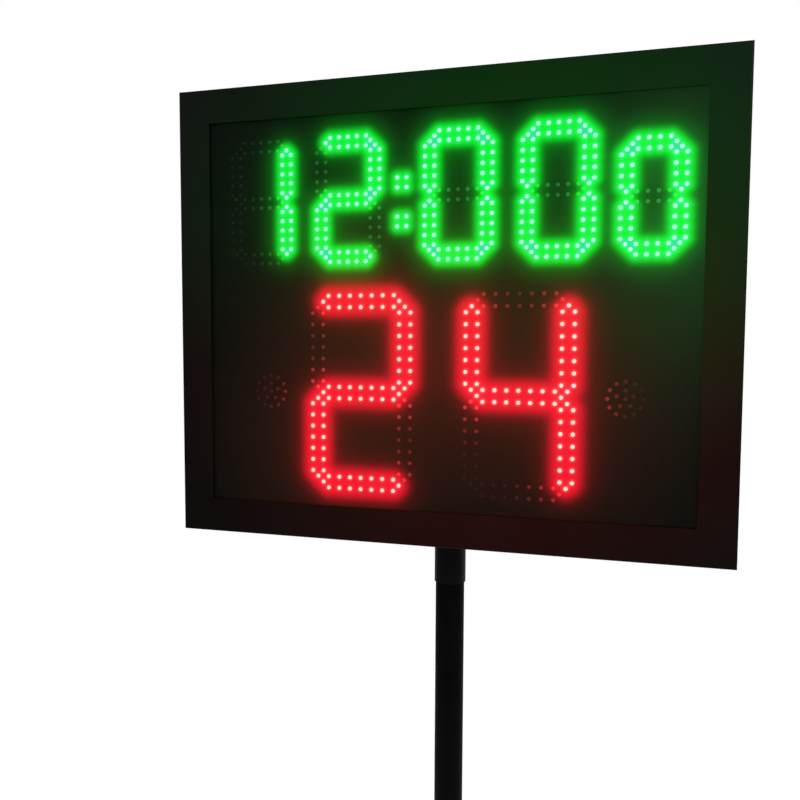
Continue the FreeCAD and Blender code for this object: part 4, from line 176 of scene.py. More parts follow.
@dataclass(frozen=True)
class Finish:
    """A material and the way its surface was made.

    Attributes:
        name: the real material.
        slot: the material slot of the record that it belongs to. It is not used here.
        colour: its main colour.
        second: the colour that its uneven places turn to.
        roughness: the middle of its roughness.
        metallic: one for bare metal.
        specular: how strongly it mirrors, with 0.5 for a refractive index of 1.5.
        patch_mm: the size of its uneven places.
        grain_mm: the size of its grain.
        depth_mm: the depth of its grain.
        edge_mm: the radius of its edges, or zero where they stay sharp.
        swing: its lowest and its highest roughness, as shares of the middle.
    """

    name: str
    slot: str
    colour: str
    second: str
    roughness: float
    metallic: float = 0.0
    specular: float = 0.5
    patch_mm: float = 40.0
    grain_mm: float = 1.0
    depth_mm: float = 0.01
    edge_mm: float = 0.4
    swing: tuple[float, float] = (0.88, 1.12)

    def material(self) -> bpy.types.Material:
        """Builds the material, or finds it where it has been built.

        Returns:
            The material.
        """
        found = bpy.data.materials.get(self.name)
        if found:
            return found
        material = bpy.data.materials.new(self.name)
        material.use_nodes = True
        tree = material.node_tree
        tree.nodes.clear()
        shader = add_node(tree, "ShaderNodeBsdfPrincipled",
                          inputs={"Base Color": linear(self.colour), "Roughness": self.roughness,
                                  "Metallic": self.metallic, "Specular IOR Level": self.specular})
        self.dress(tree, shader)
        add_node(tree, "ShaderNodeOutputMaterial", inputs={"Surface": shader.outputs["BSDF"]})
        return material

    def dress(self, tree: Tree, shader: Node) -> None:
        """Links patches of the second colour, uneven roughness and the grain to the shader.

        Args:
            tree: the material's node tree.
            shader: its shader.
        """
        patches = noise(tree, self.patch_mm, detail=3.0)
        self.tint(tree, shader, patches)
        self.polish(tree, shader, patches)
        self.roughen(tree, shader, noise(tree, self.grain_mm))

    def tint(self, tree: Tree, shader: Node, pattern: Socket, start: float = FADE_START,
             end: float = FADE_END) -> Socket:
        """Turns the base colour to the second one as a pattern rises.

        Args:
            tree: the material's node tree.
            shader: its shader.
            pattern: the pattern.
            start: its value up to which the first colour stays.
            end: its value from which the second colour is full.

        Returns:
            The share of the second colour.
        """
        share = add_node(tree, "ShaderNodeMapRange",
                         inputs={"Value": pattern, "From Min": start, "From Max": end}).outputs["Result"]
        mixed = add_node(tree, "ShaderNodeMix", COLOUR_MIX,
                         {MIX_FACTOR: share, MIX_A: linear(self.colour), MIX_B: linear(self.second)})
        tree.links.new(mixed.outputs[MIX_RESULT], shader.inputs["Base Color"])
        return share

    def polish(self, tree: Tree, shader: Node, pattern: Socket) -> None:
        """Swings the roughness from its lowest to its highest as a pattern rises.

        Args:
            tree: the material's node tree.
            shader: its shader.
            pattern: the pattern.
        """
        low, high = self.swing
        level = add_node(tree, "ShaderNodeMapRange",
                         inputs={"Value": pattern, "From Min": FADE_START, "From Max": FADE_END,
                                 "To Min": self.roughness * low, "To Max": self.roughness * high})
        tree.links.new(level.outputs["Result"], shader.inputs["Roughness"])

    def roughen(self, tree: Tree, shader: Node, height: Socket) -> None:
        """Gives the shader bumps as deep as depth_mm, and edges rounded to edge_mm.

        Args:
            tree: the material's node tree.
            shader: its shader.
            height: the bumps, from 0 to 1.
        """
        bump = add_node(tree, "ShaderNodeBump",
                        inputs={"Height": height, "Distance": self.depth_mm * MM, "Strength": 1.0})
        if self.edge_mm:
            edge = add_node(tree, "ShaderNodeBevel", {"samples": EDGE_SAMPLES}, {"Radius": self.edge_mm * MM})
            tree.links.new(edge.outputs["Normal"], bump.inputs["Normal"])
        tree.links.new(bump.outputs["Normal"], shader.inputs["Normal"])


@dataclass(frozen=True)
class PaintedGlowCoat(Finish):
    """Powder coat of the housing, with a glow of the lamps' light painted over its face as emission.

    Attributes:
        green: the colour of that light round the green row.
        red: the colour of that light round the red row.
        green_light: its strength at the middle of the green row's light.
        red_light: its strength at the middle of the red row's light.
        green_shift: how far that middle lies to the right of the green lamps' middle, in metres.
        red_shift: the same for the red lamps.
        green_reach: the half sizes of the green row's light in metres.
        red_reach: the same for the red row.
        turned_away: the least Y of a normal that gets none of the light.
    """

    green: str = "#0DFF35"
    red: str = "#FF3020"
    green_light: float = 0.030
    red_light: float = 0.022
    green_shift: float = 0.08
    red_shift: float = 0.05
    green_reach: Triple = (0.50, 0.30, 0.34)
    red_reach: Triple = (0.46, 0.30, 0.34)
    turned_away: float = -0.9

    def dress(self, tree: Tree, shader: Node) -> None:
        """Adds the painted glow of the lamps' light to the coat as emission, on the faces that look forwards
        only.

        Args:
            tree: the material's node tree.
            shader: its shader.
        """
        super().dress(tree, shader)
        low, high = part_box("green_leds")
        green_place = ((low.x + high.x) / 2 + self.green_shift, high.y, (low.z + high.z) / 2)
        green = blob(tree, green_place, self.green_reach)
        low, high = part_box("red_leds")
        red_place = ((low.x + high.x) / 2 + self.red_shift, high.y, (low.z + high.z) / 2)
        red = blob(tree, red_place, self.red_reach)
        normal = add_node(tree, "ShaderNodeTexCoord").outputs["Normal"]
        forward = add_node(tree, "ShaderNodeSeparateXYZ", inputs={0: normal}).outputs["Y"]
        facing = add_node(tree, "ShaderNodeMath", {"operation": "LESS_THAN"},
                          {0: forward, 1: self.turned_away})
        both = add_node(tree, "ShaderNodeVectorMath", {"operation": "ADD"},
                        {0: self.glow(tree, green, self.green, self.green_light),
                         1: self.glow(tree, red, self.red, self.red_light)})
        seen = add_node(tree, "ShaderNodeMix", COLOUR_MIX,
                        {MIX_FACTOR: facing.outputs[0], MIX_A: BLACK, MIX_B: both.outputs[0]})
        # Painted glow: emission on the forward faces round the two rows of lamps
        tree.links.new(seen.outputs[MIX_RESULT], shader.inputs["Emission Color"])
        shader.inputs["Emission Strength"].default_value = 1.0

    @staticmethod
    def glow(tree: Tree, share: Socket, code: str, strength: float) -> Socket:
        """Light of one colour.

        Args:
            tree: the material's node tree.
            share: how much of it there is, from 0 to 1.
            code: its colour as "#RRGGBB".
            strength: its strength where the share is one.

        Returns:
            The light.
        """
        light = [*(rgb(code) * strength).tolist(), 1.0]
        mixed = add_node(tree, "ShaderNodeMix", COLOUR_MIX, {MIX_FACTOR: share, MIX_A: BLACK, MIX_B: light})
        return mixed.outputs[MIX_RESULT]


@dataclass(frozen=True)
class DrawnMetal(Finish):
    """Metal with fine lines along one direction, from rolling or drawing.

    Attributes:
        stretch: how much finer the lines are along X, Y and Z.
    """

    swing: tuple[float, float] = (0.8, 1.25)
    stretch: Triple = (1.0, 1.0, 0.03)

    def dress(self, tree: Tree, shader: Node) -> None:
        """Links patches to the colour, and the lines to the roughness and the bumps.

        Args:
            tree: the material's node tree.
            shader: its shader.
        """
        lines = noise(tree, self.grain_mm, detail=4.0, stretch=self.stretch)
        self.tint(tree, shader, noise(tree, self.patch_mm))
        self.polish(tree, shader, lines)
        self.roughen(tree, shader, lines)


@dataclass(frozen=True)
class SmokedAcrylic(Finish):
    """Clear or tinted material with polished faces. It lets part of the light through and mirrors sharply.

    Attributes:
        cover: the share of the light that each of its two faces holds back.
    """

    swing: tuple[float, float] = (0.6, 1.4)
    cover: float = 0.38

    def dress(self, tree: Tree, shader: Node) -> None:
        """Adds a slightly uneven polish and the share that it holds back.

        Args:
            tree: the material's node tree.
            shader: its shader.
        """
        shader.inputs["Alpha"].default_value = self.cover
        haze = noise(tree, self.patch_mm, detail=3.0)
        self.polish(tree, shader, haze)
        self.tint(tree, shader, haze, 0.0, 1.0)


@dataclass(frozen=True)
class LampLightAndPaintedGlow(Finish):
    """A surface whose light is worked out point by point and kept in its colour attribute: the lamps' own
    light on lit lenses, and a painted glow on the sheet and on lenses that are off.

    Attributes:
        attribute: the name of that attribute.
    """

    patch_mm: float = 20.0
    grain_mm: float = 2.0
    depth_mm: float = 0.0
    edge_mm: float = 0.0
    attribute: str = "lamp_light_and_painted_glow"

    def dress(self, tree: Tree, shader: Node) -> None:
        """Links the attribute to the emission, and keeps the rest of the finish.

        Args:
            tree: the material's node tree.
            shader: its shader.
        """
        super().dress(tree, shader)
        light = add_node(tree, "ShaderNodeAttribute", {"attribute_name": self.attribute}).outputs["Color"]
        tree.links.new(light, shader.inputs["Emission Color"])
        shader.inputs["Emission Strength"].default_value = 1.0


@dataclass(frozen=True)
class CircuitBoard(Finish):
    """Glass-fibre board under solder mask, with copper tracks that show through it.

    Attributes:
        track_mm: the distance between tracks.
        scatter: how far the tracks' cells stray from squares in rows, from 0 to 1.
        track_edge: the distances from a cell's middle at which a track's slope starts and ends, in cells.
    """

    track_mm: float = 3.0
    scatter: float = 0.6
    track_edge: tuple[float, float] = (0.35, 0.45)

    def dress(self, tree: Tree, shader: Node) -> None:
        """Draws the tracks as the edges of square cells, and gives them a little height.

        Args:
            tree: the material's node tree.
            shader: its shader.
        """
        place = add_node(tree, "ShaderNodeTexCoord").outputs["Object"]
        cells = add_node(tree, "ShaderNodeTexVoronoi", {"distance": "CHEBYCHEV", "feature": "F1"},
                         {"Vector": place, "Scale": per_metre(self.track_mm), "Randomness": self.scatter})
        self.roughen(tree, shader, self.tint(tree, shader, cells.outputs["Distance"], *self.track_edge))


@dataclass(frozen=True)
class RibbedCable(Finish):
    """Flat cable whose cores show as ribs. The first colour is a painted shade in the valleys between them.

    Attributes:
        core_mm: the distance between cores, which lie side by side along X.
    """

    core_mm: float = 1.27

    def dress(self, tree: Tree, shader: Node) -> None:
        """Draws one wave per core, and darkens the valleys with painted shade.

        Args:
            tree: the material's node tree.
            shader: its shader.
        """
        place = add_node(tree, "ShaderNodeTexCoord").outputs["Object"]
        across = add_node(tree, "ShaderNodeSeparateXYZ", inputs={0: place}).outputs["X"]
        turn = add_node(tree, "ShaderNodeMath", {"operation": "MULTIPLY"},
                        {0: across, 1: 2 * np.pi * per_metre(self.core_mm)}).outputs[0]
        wave = add_node(tree, "ShaderNodeMath", {"operation": "SINE"}, {0: turn}).outputs[0]
        self.roughen(tree, shader, self.tint(tree, shader, wave, -1.0, 1.0))


# Polyester powder coat on aluminium sheet: near black, satin, with the faint orange peel of baked powder, and
# a green and red glow of the lamps painted onto its front as emission
HOUSING_COAT = PaintedGlowCoat("polyester_powder_coat_on_sheet_painted_glow", "housing_coat", "#050605", "#080907", 0.5,
                           specular=0.11, patch_mm=90.0, grain_mm=1.4, depth_mm=0.012)
# The coat of the back cover: the same powder, with the coarser texture that hides fingerprints
COVER_COAT = Finish("polyester_powder_coat_textured", "housing_coat", "#0C0D0C", "#131413", 0.55,
                    specular=0.4, patch_mm=120.0, grain_mm=2.2, depth_mm=0.05)
# The sliding pole: blackened steel, wiped smooth by the bush, so it gives back almost no light
POLE_COAT = Finish("blackened_steel_tube", "stand_coat", "#030303", "#050505", 0.5,
                   specular=0.07, patch_mm=60.0, grain_mm=1.2, depth_mm=0.006)
# The coat on steel tube: smooth and deep black
STAND_COAT = Finish("polyester_powder_coat_on_tube", "stand_coat", "#040404", "#070707", 0.42,
                    specular=0.2, patch_mm=60.0, grain_mm=1.2, depth_mm=0.008)
# The same coat on the base and the saddles, on thick steel plate
PLATE_COAT = Finish("polyester_powder_coat_on_plate", "stand_coat", "#0B0A0A", "#121010", 0.5,
                    specular=0.35, patch_mm=80.0, grain_mm=1.6, depth_mm=0.02, edge_mm=0.8)
# Cast acrylic, smoked: nearly black in the mass, glossy, with a sharp mirror image
SMOKED_PANE = SmokedAcrylic("cast_acrylic_smoked", "tinted_acrylic", "#050606", "#080909", 0.06,
                            specular=0.5, patch_mm=120.0)
# Closed-cell neoprene foam: dead matt, with fine open pores on its cut edge
GASKET_FOAM = Finish("neoprene_foam", "foam_gasket", "#101010", "#1A1A1A", 0.95,
                     specular=0.2, patch_mm=6.0, grain_mm=0.6, depth_mm=0.05)
# Printed polyester sheet in matt black, with the lamps' glow, a reflection and a faint green haze painted
# onto it as emission
MASK_SHEET = LampLightAndPaintedGlow("printed_polyester_sheet_matt_black_painted_glow", "mask_film", "#060706", "#090A09", 0.8,
                       specular=0.15, patch_mm=30.0, grain_mm=0.5, depth_mm=0.005)
# Epoxy lenses of lamps that are on: the die lights the middle white, and the rim keeps the colour
RED_LIT_LENS = LampLightAndPaintedGlow("epoxy_lens_red_lit", "red_lens", "#7A1418", "#8A1A1C", 0.2)
GREEN_LIT_LENS = LampLightAndPaintedGlow("epoxy_lens_green_lit", "green_lens", "#1E5A30", "#246838", 0.2)
# The same lenses off: dull, tinted and slightly milky, with a glow painted on them as emission from the lit
# lamps beside them
RED_UNLIT_LENS = LampLightAndPaintedGlow("epoxy_lens_red", "red_lens", "#5A1618", "#4C1214", 0.25)
GREEN_UNLIT_LENS = LampLightAndPaintedGlow("epoxy_lens_green", "green_lens", "#263E2B", "#203624", 0.25)
# Glass-fibre boards: black solder mask on the lamp boards, green on the others
LAMP_BOARD = CircuitBoard("glass_fibre_board_black_mask", "board_mask", "#0B0D0C", "#121614", 0.45,
                          depth_mm=0.03, track_mm=4.0)
LOGIC_BOARD = CircuitBoard("glass_fibre_board_green_mask", "green_board", "#0C4A2A", "#14663A", 0.4,
                           depth_mm=0.03, track_mm=2.5)
# Rolled aluminium sheet, unpainted: pale, with rolling lines
BARE_ALUMINIUM = DrawnMetal("rolled_aluminium_sheet", "bare_aluminium", "#A9ABAD", "#999C9F", 0.38, 1.0,
                            patch_mm=80.0, grain_mm=0.8, depth_mm=0.004)
# Zinc-plated steel: bluish silver, slightly cloudy
ZINC_STEEL = Finish("zinc_plated_steel", "zinc_steel", "#A2A5A7", "#868884", 0.34, 1.0,
                    patch_mm=5.0, grain_mm=0.5, depth_mm=0.003, edge_mm=0.3)
# Turned brass: warm yellow with fine turning marks
TURNED_BRASS = DrawnMetal("turned_brass", "brass", "#BF9F5C", "#A58344", 0.3, 1.0,
                          patch_mm=6.0, grain_mm=0.4, depth_mm=0.003, stretch=(1.0, 0.1, 1.0))
# Nickel-plated brass pins: bright, slightly warm
NICKEL_BRASS = Finish("nickel_plated_brass", "tinned_brass", "#D2CFC6", "#BDB9AE", 0.2, 1.0,
                      patch_mm=4.0, grain_mm=0.4, depth_mm=0.001)
# Moulded nylon with glass fibre: black, with the fine spark-eroded grain of its mould
BLACK_NYLON = Finish("glass_filled_nylon_black", "black_nylon", "#161717", "#1D1E1E", 0.52,
                     specular=0.45, patch_mm=14.0, grain_mm=0.5, depth_mm=0.02)
# Polycarbonate, moulded in red and polished
RED_NYLON = Finish("polycarbonate_red", "red_nylon", "#A31216", "#8C0E12", 0.3,
                   patch_mm=10.0, grain_mm=1.5, depth_mm=0.004)
# Pad-printed ink, white
WHITE_PRINT = Finish("pad_print_white", "red_nylon", "#E2E0DA", "#D2D0CA", 0.5,
                     patch_mm=3.0, grain_mm=0.3, depth_mm=0.003, edge_mm=0.0)
# Natural rubber with carbon black: matt, with a dusty bloom
BLACK_RUBBER = Finish("moulded_rubber_black", "black_rubber", "#131313", "#1E1E1D", 0.82,
                      specular=0.3, patch_mm=12.0, grain_mm=0.7, depth_mm=0.02)
# Borosilicate tube of the fuse: clear and smooth
FUSE_GLASS = SmokedAcrylic("borosilicate_glass", "fuse_glass", "#D8E4E2", "#C8D6D4", 0.05, cover=0.35,
                           patch_mm=8.0)
# Pressed paper pulp of the horn's cone: fibrous and matt
PAPER_CONE = Finish("pressed_paper_pulp", "paper_cone", "#1C1B1A", "#292724", 0.9,
                    specular=0.2, patch_mm=3.0, grain_mm=0.8, depth_mm=0.08)
# Flat cable in grey vinyl, with painted shade that darkens the valleys between its cores
FLAT_CABLE = RibbedCable("flat_cable_grey_vinyl_painted_shade", "grey_cable", "#5C5D5F", "#8E8F90", 0.55, depth_mm=0.3)


def wear(finish: Finish, *nodes: str) -> None:
    """Puts a finish on CAD nodes.

    Args:
        finish: the finish.
        nodes: the names of the nodes.
    """
    for node in nodes:
        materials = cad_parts[node].data.materials
        materials.clear()
        materials.append(finish.material())
        LOG.info("%s: %s", node, finish.name)


def make_piece(name: str, shape: Shape, finish: Finish, body: str, smooth: bool = True) -> bpy.types.Object:
    """Puts arrays into a mesh, dresses it and lets it ride on a body.

    Args:
        name: the name of the piece.
        shape: its vertices in metres, and its quads and triangles, of which either may be empty.
        finish: its finish.
        body: the body that it moves with.
        smooth: whether its faces are shaded as one surface.

    Returns:
        The object.
    """
    vertices, quads, triangles = shape
    mesh = bpy.data.meshes.new(name)
    quads = quads.reshape(-1, 4)
    triangles = triangles.reshape(-1, 3)
    corners = np.concatenate([quads.ravel(), triangles.ravel()]).astype(np.int32)
    starts = np.concatenate([np.arange(len(quads)) * 4, quads.size + np.arange(len(triangles)) * 3])
    mesh.vertices.add(len(vertices))
    mesh.vertices.foreach_set("co", vertices.astype(np.float32).ravel())
    mesh.loops.add(len(corners))
    mesh.loops.foreach_set("vertex_index", corners)
    mesh.polygons.add(len(starts))
    mesh.polygons.foreach_set("loop_start", starts.astype(np.int32))
    mesh.update(calc_edges=True)
    mesh.validate()
    mesh.polygons.foreach_set("use_smooth", np.full(len(mesh.polygons), smooth))
    mesh.materials.append(finish.material())
    piece = bpy.data.objects.new(name, mesh)
    bpy.context.scene.collection.objects.link(piece)
    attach(piece, body)
    LOG.info("%s: %d faces on %s", name, len(mesh.polygons), body)
    return piece


def lathe(profile: np.ndarray, count: int) -> Shape:
    """A closed turned shape about the Y axis.

    Point k of turn j is at (r cos a, y, r sin a), where r and y are the profile's k-th values and a is
    2 pi j / count. The profile's first and last points lie on the axis and become one vertex each.

    Args:
        profile: n x 2 radii and places along Y, from the front end on the axis to the back end.
        count: how many such turns there are.

    Returns:
        Vertices, quads and triangles, with the faces outwards.
    """
    rings = profile[1:-1]
    angles = 2 * np.pi * np.arange(count) / count
    x = rings[:, 0, None] * np.cos(angles)
    z = rings[:, 0, None] * np.sin(angles)
    y = np.broadcast_to(rings[:, 1, None], x.shape)
    body = np.stack([x, y, z], axis=-1).reshape(-1, 3)
    ends = np.array([[0.0, profile[0, 1], 0.0], [0.0, profile[-1, 1], 0.0]])
    vertices = np.vstack([body, ends])
    around = np.arange(count)
    after = (around + 1) % count
    starts = np.arange(len(rings) - 1)[:, None] * count
    here, beside = starts + around, starts + after
    quads = np.stack([here, here + count, beside + count, beside], axis=-1).reshape(-1, 4)
    last = (len(rings) - 1) * count
    front = np.stack([np.full(count, len(body)), around, after], axis=-1)
    back = np.stack([np.full(count, len(body) + 1), last + after, last + around], axis=-1)
    return vertices, quads, np.vstack([front, back])


def gather(shapes: list[Shape]) -> Shape:
    """Puts several shapes together.

    Args:
        shapes: the shapes.

    Returns:
        The vertices, quads and triangles of them all.
    """
    starts = np.cumsum([0] + [len(vertices) for vertices, _, _ in shapes])
    return (np.vstack([vertices for vertices, _, _ in shapes]),
            np.vstack([quads + start for (_, quads, _), start in zip(shapes, starts)]),
            np.vstack([triangles + start for (_, _, triangles), start in zip(shapes, starts)]))


def repeat(shape: Shape, places: np.ndarray) -> Shape:
    """Copies a shape to many places: vertex v of copy i is v + place i.

    Args:
        shape: vertices, quads and triangles of one copy.
        places: n x 3 places.

    Returns:
        Vertices, quads and triangles of all the copies.
    """
    vertices, quads, triangles = shape
    step = (np.arange(len(places)) * len(vertices))[:, None, None]
    moved = (vertices[None] + places[:, None]).reshape(-1, 3)
    return moved, (quads[None] + step).reshape(-1, 4), (triangles[None] + step).reshape(-1, 3)


def paint(piece: bpy.types.Object, name: str, colours: np.ndarray) -> None:
    """Keeps one linear colour per vertex in an attribute.

    Args:
        piece: the object.
        name: the name of the attribute.
        colours: n x 3 colours, which may be brighter than one.
    """
    attribute = piece.data.attributes.new(name, "FLOAT_COLOR", "POINT")
    alpha = np.ones((len(colours), 1))
    attribute.data.foreach_set("color", np.hstack([colours, alpha]).astype(np.float32).ravel())


class Figure(Enum):
    """The figures shown, by their lit bars: a is the top one, b to f follow clockwise, g is the middle."""

    ZERO = "abcdef"
    ONE = "bc"
    TWO = "abged"
    FOUR = "fgbc"


@dataclass(frozen=True)
class Digit:
    """One seven-bar digit of round lamps. All its lamps lie on a lattice of half pitches.

    Attributes:
        x_mm: its middle, to the right of the middle of the display.
        z_mm: its middle above the floor.
        pitch_mm: the distance between neighbouring lamps.
        pairs: the pairs of lamps along one bar.
        figure: what it shows.
    """

    x_mm: float
    z_mm: float
    pitch_mm: float
    pairs: int
    figure: Figure

    def across(self, level: int) -> np.ndarray:
        """A bar across the digit: two rows one half pitch off its level, and a lamp at each end.

        Args:
            level: its level above the digit's middle, in half pitches.

        Returns:
            n x 2 places on the lattice.
        """
        steps = np.arange(1 - self.pairs, self.pairs, 2)
        rows = np.stack(np.meshgrid(steps, [level - 1, level + 1]), axis=-1).reshape(-1, 2)
        return np.vstack([rows, [[-self.pairs, level], [self.pairs, level]]])

    def upright(self, side: int, top: int) -> np.ndarray:
        """An upright bar from its single top lamp down: two columns, and a lamp at each end.

        Args:
            side: -1 on the left and 1 on the right.
            top: the level of the top lamp, in half pitches.

        Returns:
            n x 2 places on the lattice.
        """
        column = side * (self.pairs + 1)
        levels = top - 1 - 2 * np.arange(self.pairs)
        rows = np.stack(np.meshgrid([column - 1, column + 1], levels), axis=-1).reshape(-1, 2)
        return np.vstack([rows, [[column, top], [column, top - 2 * self.pairs]]])

    def bars(self) -> dict[str, np.ndarray]:
        """The lattice places of the seven bars. The top row lies 2 * pairs + 3 half pitches over the middle.

        Returns:
            The places by the letter of the bar.
        """
        top = 2 * self.pairs + 3
        return {
            "a": self.across(top - 1),
            "b": self.upright(1, top - 2),
            "c": self.upright(1, -1),
            "d": self.across(1 - top),
            "e": self.upright(-1, -1),
            "f": self.upright(-1, top - 2),
            "g": self.across(0),
        }

    def lamps(self, lit: bool) -> np.ndarray:
        """Places of the lamps that are on or off.

        Args:
            lit: True for the lamps that are on.

        Returns:
            n x 2 places in millimetres.
        """
        chosen = [bar for letter, bar in self.bars().items() if (letter in self.figure.value) == lit]
        lattice = np.vstack(chosen + [np.empty((0, 2))])
        return np.array([self.x_mm, self.z_mm]) + lattice * self.pitch_mm / 2


@dataclass(frozen=True)
class LampColour:
    """How the lamps of one colour light what is round them: a glow painted as emission onto the sheet and
    onto the lenses that are off.

    Attributes:
        name: the colour.
        node: the CAD node that holds the lamps.
        core: the light of the middle of a lens.
        rim: the light of the edge of a lens.
        near: the light between neighbouring lamps.
        dense: that light where lamps stand closest.
        far: the light that spreads through the window.
        unlit: the colour of the glow painted on a lens that is off, from the lit lamps beside it.
        reaches_mm: the standard deviations of the two bell curves of the near light.
        gains: their strengths before the near light saturates.
        power: the exponent of their sum. A lower one gives the glow a longer tail.
        far_mm: the standard deviation of the far light.
        far_gain: its strength.
        halo_mm: the standard deviation of the paler light that hugs each lit lens.
        halo: the light that it adds in the middle.
        unlit_mm: the standard deviation of the glow painted on a lens that is off.
        unlit_gain: its strength.
    """

    name: str
    node: str
    core: str
    rim: str
    near: str
    dense: str
    far: str
    unlit: str
    reaches_mm: tuple[float, float]
    gains: tuple[float, float]
    power: float
    far_mm: float
    far_gain: float
    halo_mm: float
    halo: Triple
    unlit_mm: float
    unlit_gain: float


GREEN = LampColour("green", "green_leds", core="#B7FFE2", rim="#60FF98", near="#00FF2C", dense="#10E878",
                   far="#14FF38", unlit="#48FF68", reaches_mm=(4.56, 13.4), gains=(1.98, 0.0255), power=0.905,
                   far_mm=70.0, far_gain=0.00022, halo_mm=2.0, halo=(0.07, 0.0, 0.38), unlit_mm=18.0,
                   unlit_gain=0.028)
RED = LampColour("red", "red_leds", core="#FFE3CD", rim="#FF8870", near="#FF0A2C", dense="#FF1034",
                 far="#FF7040", unlit="#FF494A", reaches_mm=(6.4, 16.0), gains=(1.55, 0.031), power=1.0,
                 far_mm=70.0, far_gain=0.0009, halo_mm=1.7, halo=(0.0, 0.25, 0.23), unlit_mm=25.0,
                 unlit_gain=0.07)


@dataclass
class Lamps:
    """All the lamps of the display, and the sheet that they stand through.

    Attributes:
        red_level_mm: the middle of the red row above the floor.
        green_level_mm: the middle of the green row above the floor.
        red_pitch_mm: the distance between neighbouring red lamps.
        green_pitch_mm: the same for green lamps.
        red_spacing_mm: from one red digit to the next.
        green_spacing_mm: from one green digit to the next.
        colon_mm: the middle of the colon, to the right of the middle of the display.
        colon_to_digit_mm: from the colon to the digits beside it.
        colon_steps: the levels of the colon's groups above the row's middle, in half pitches.
        red_pairs: the pairs of lamps along one bar of a red digit.
        green_pairs: the same for a green digit.
        tenths_pairs: the same for the digit of the tenths.
        tenths_spacing_mm: from the last green digit to the tenths.
        round_mm: from the middle of the display to each round lamp.
        round_rings_mm: the radius and the number of lamps of each ring of a round lamp.
        flange_mm: the diameter of a lamp's flange.
        lens_turns: the sides of a lens.
        lens_rings_mm: the radius of each ring of a lens's dome, and how far that lies behind the tip.
        core_share: the share of the core's light at the tip, at those rings, at the flange and behind it.
        dense_start: the narrow light at which the dense colour starts.
        dense_width: how much more of it gives the full dense colour.
        sheet_step_mm: the distance between the points of the sheet at which the light is worked out.
        haze: a faint green glow painted on the sheet where no lamp is near.
        painted_reflection: a reflection painted on the sheet as light, on one side of the window.
        painted_reflection_place_mm: where that painted reflection is strongest.
        painted_reflection_place_mm: where that light is strongest.
        painted_reflection_reach_mm: how far it spreads across and up.
        pane_share: the share of the lamps' light that the pane lets through.
    """

    red_level_mm: float = 1388.0
    green_level_mm: float = 1610.2
    red_pitch_mm: float = 13.24
    green_pitch_mm: float = 10.85
    red_spacing_mm: float = 183.0
    green_spacing_mm: float = 108.7
    colon_mm: float = -42.7
    colon_to_digit_mm: float = 64.6
    colon_steps: tuple[int, int] = (3, -5)
    red_pairs: int = 7
    green_pairs: int = 5
    tenths_pairs: int = 4
    tenths_spacing_mm: float = 97.7
    round_mm: float = 205.0
    round_rings_mm: tuple[tuple[float, int], ...] = ((18.6, 12), (9.2, 5), (0.0, 1))
    flange_mm: float = 5.8
    lens_turns: int = 10
    lens_rings_mm: tuple[tuple[float, float], ...] = ((1.3, 0.2), (2.25, 0.75), (2.5, 2.5))
    core_share: tuple[float, ...] = (1.0, 1.0, 0.95, 0.25, 0.0, 0.0)
    dense_start: float = 1.35
    dense_width: float = 0.6
    sheet_step_mm: float = 2.0
    haze: Triple = (0.0, 0.0008, 0.0)
    painted_reflection: Triple = (0.007, 0.034, 0.008)
    painted_reflection_place_mm: tuple[float, float] = (280.0, 1585.0)
    painted_reflection_reach_mm: tuple[float, float] = (105.0, 150.0)
    pane_share: float = (1 - SMOKED_PANE.cover) ** 2

    def digits(self) -> dict[str, list[Digit]]:
        """The digits of each colour.

        Returns:
            The digits from left to right, by the name of their colour.
        """
        minutes = self.colon_mm - self.colon_to_digit_mm
        seconds = self.colon_mm + self.colon_to_digit_mm
        row = ((minutes - self.green_spacing_mm, Figure.ONE), (minutes, Figure.TWO),
               (seconds, Figure.ZERO), (seconds + self.green_spacing_mm, Figure.ZERO))
        green = [Digit(x, self.green_level_mm, self.green_pitch_mm, self.green_pairs, figure)
                 for x, figure in row]
        tenths = seconds + self.green_spacing_mm + self.tenths_spacing_mm
        low = self.green_level_mm - (self.green_pairs - self.tenths_pairs) * self.green_pitch_mm
        green.append(Digit(tenths, low, self.green_pitch_mm, self.tenths_pairs, Figure.ZERO))
        half = self.red_spacing_mm / 2
        red = [Digit(side * half, self.red_level_mm, self.red_pitch_mm, self.red_pairs, figure)
               for side, figure in zip(SIDES, (Figure.TWO, Figure.FOUR))]
        return {"green": green, "red": red}

    def colon(self) -> np.ndarray:
        """The lamps of the colon: two squares of four."""
        steps = np.array([[u, level + v] for level in self.colon_steps for u in SIDES for v in SIDES])
        return np.array([self.colon_mm, self.green_level_mm]) + steps * self.green_pitch_mm / 2

    def round_lamps(self) -> np.ndarray:
        """The lamps of both round lamps: rings of lamps, with the first of each ring at its top.

        Returns:
            n x 2 places in millimetres.
        """
        rings = []
        for side in SIDES:
            for radius, count in self.round_rings_mm:
                angles = np.pi / 2 + 2 * np.pi * np.arange(count) / count
                x = side * self.round_mm + radius * np.cos(angles)
                rings.append(np.stack([x, self.red_level_mm + radius * np.sin(angles)], axis=-1))
        return np.vstack(rings)

    def lamps(self, colour: LampColour, lit: bool) -> np.ndarray:
        """The lamps of one colour that are on or off.

        Args:
            colour: the colour.
            lit: True for the lamps that are on.

        Returns:
            n x 2 places in millimetres.
        """
        places = [digit.lamps(lit) for digit in self.digits()[colour.name]]
        if colour is GREEN and lit:
            places.append(self.colon())
        if colour is RED and not lit:
            places.append(self.round_lamps())
        return np.vstack(places)

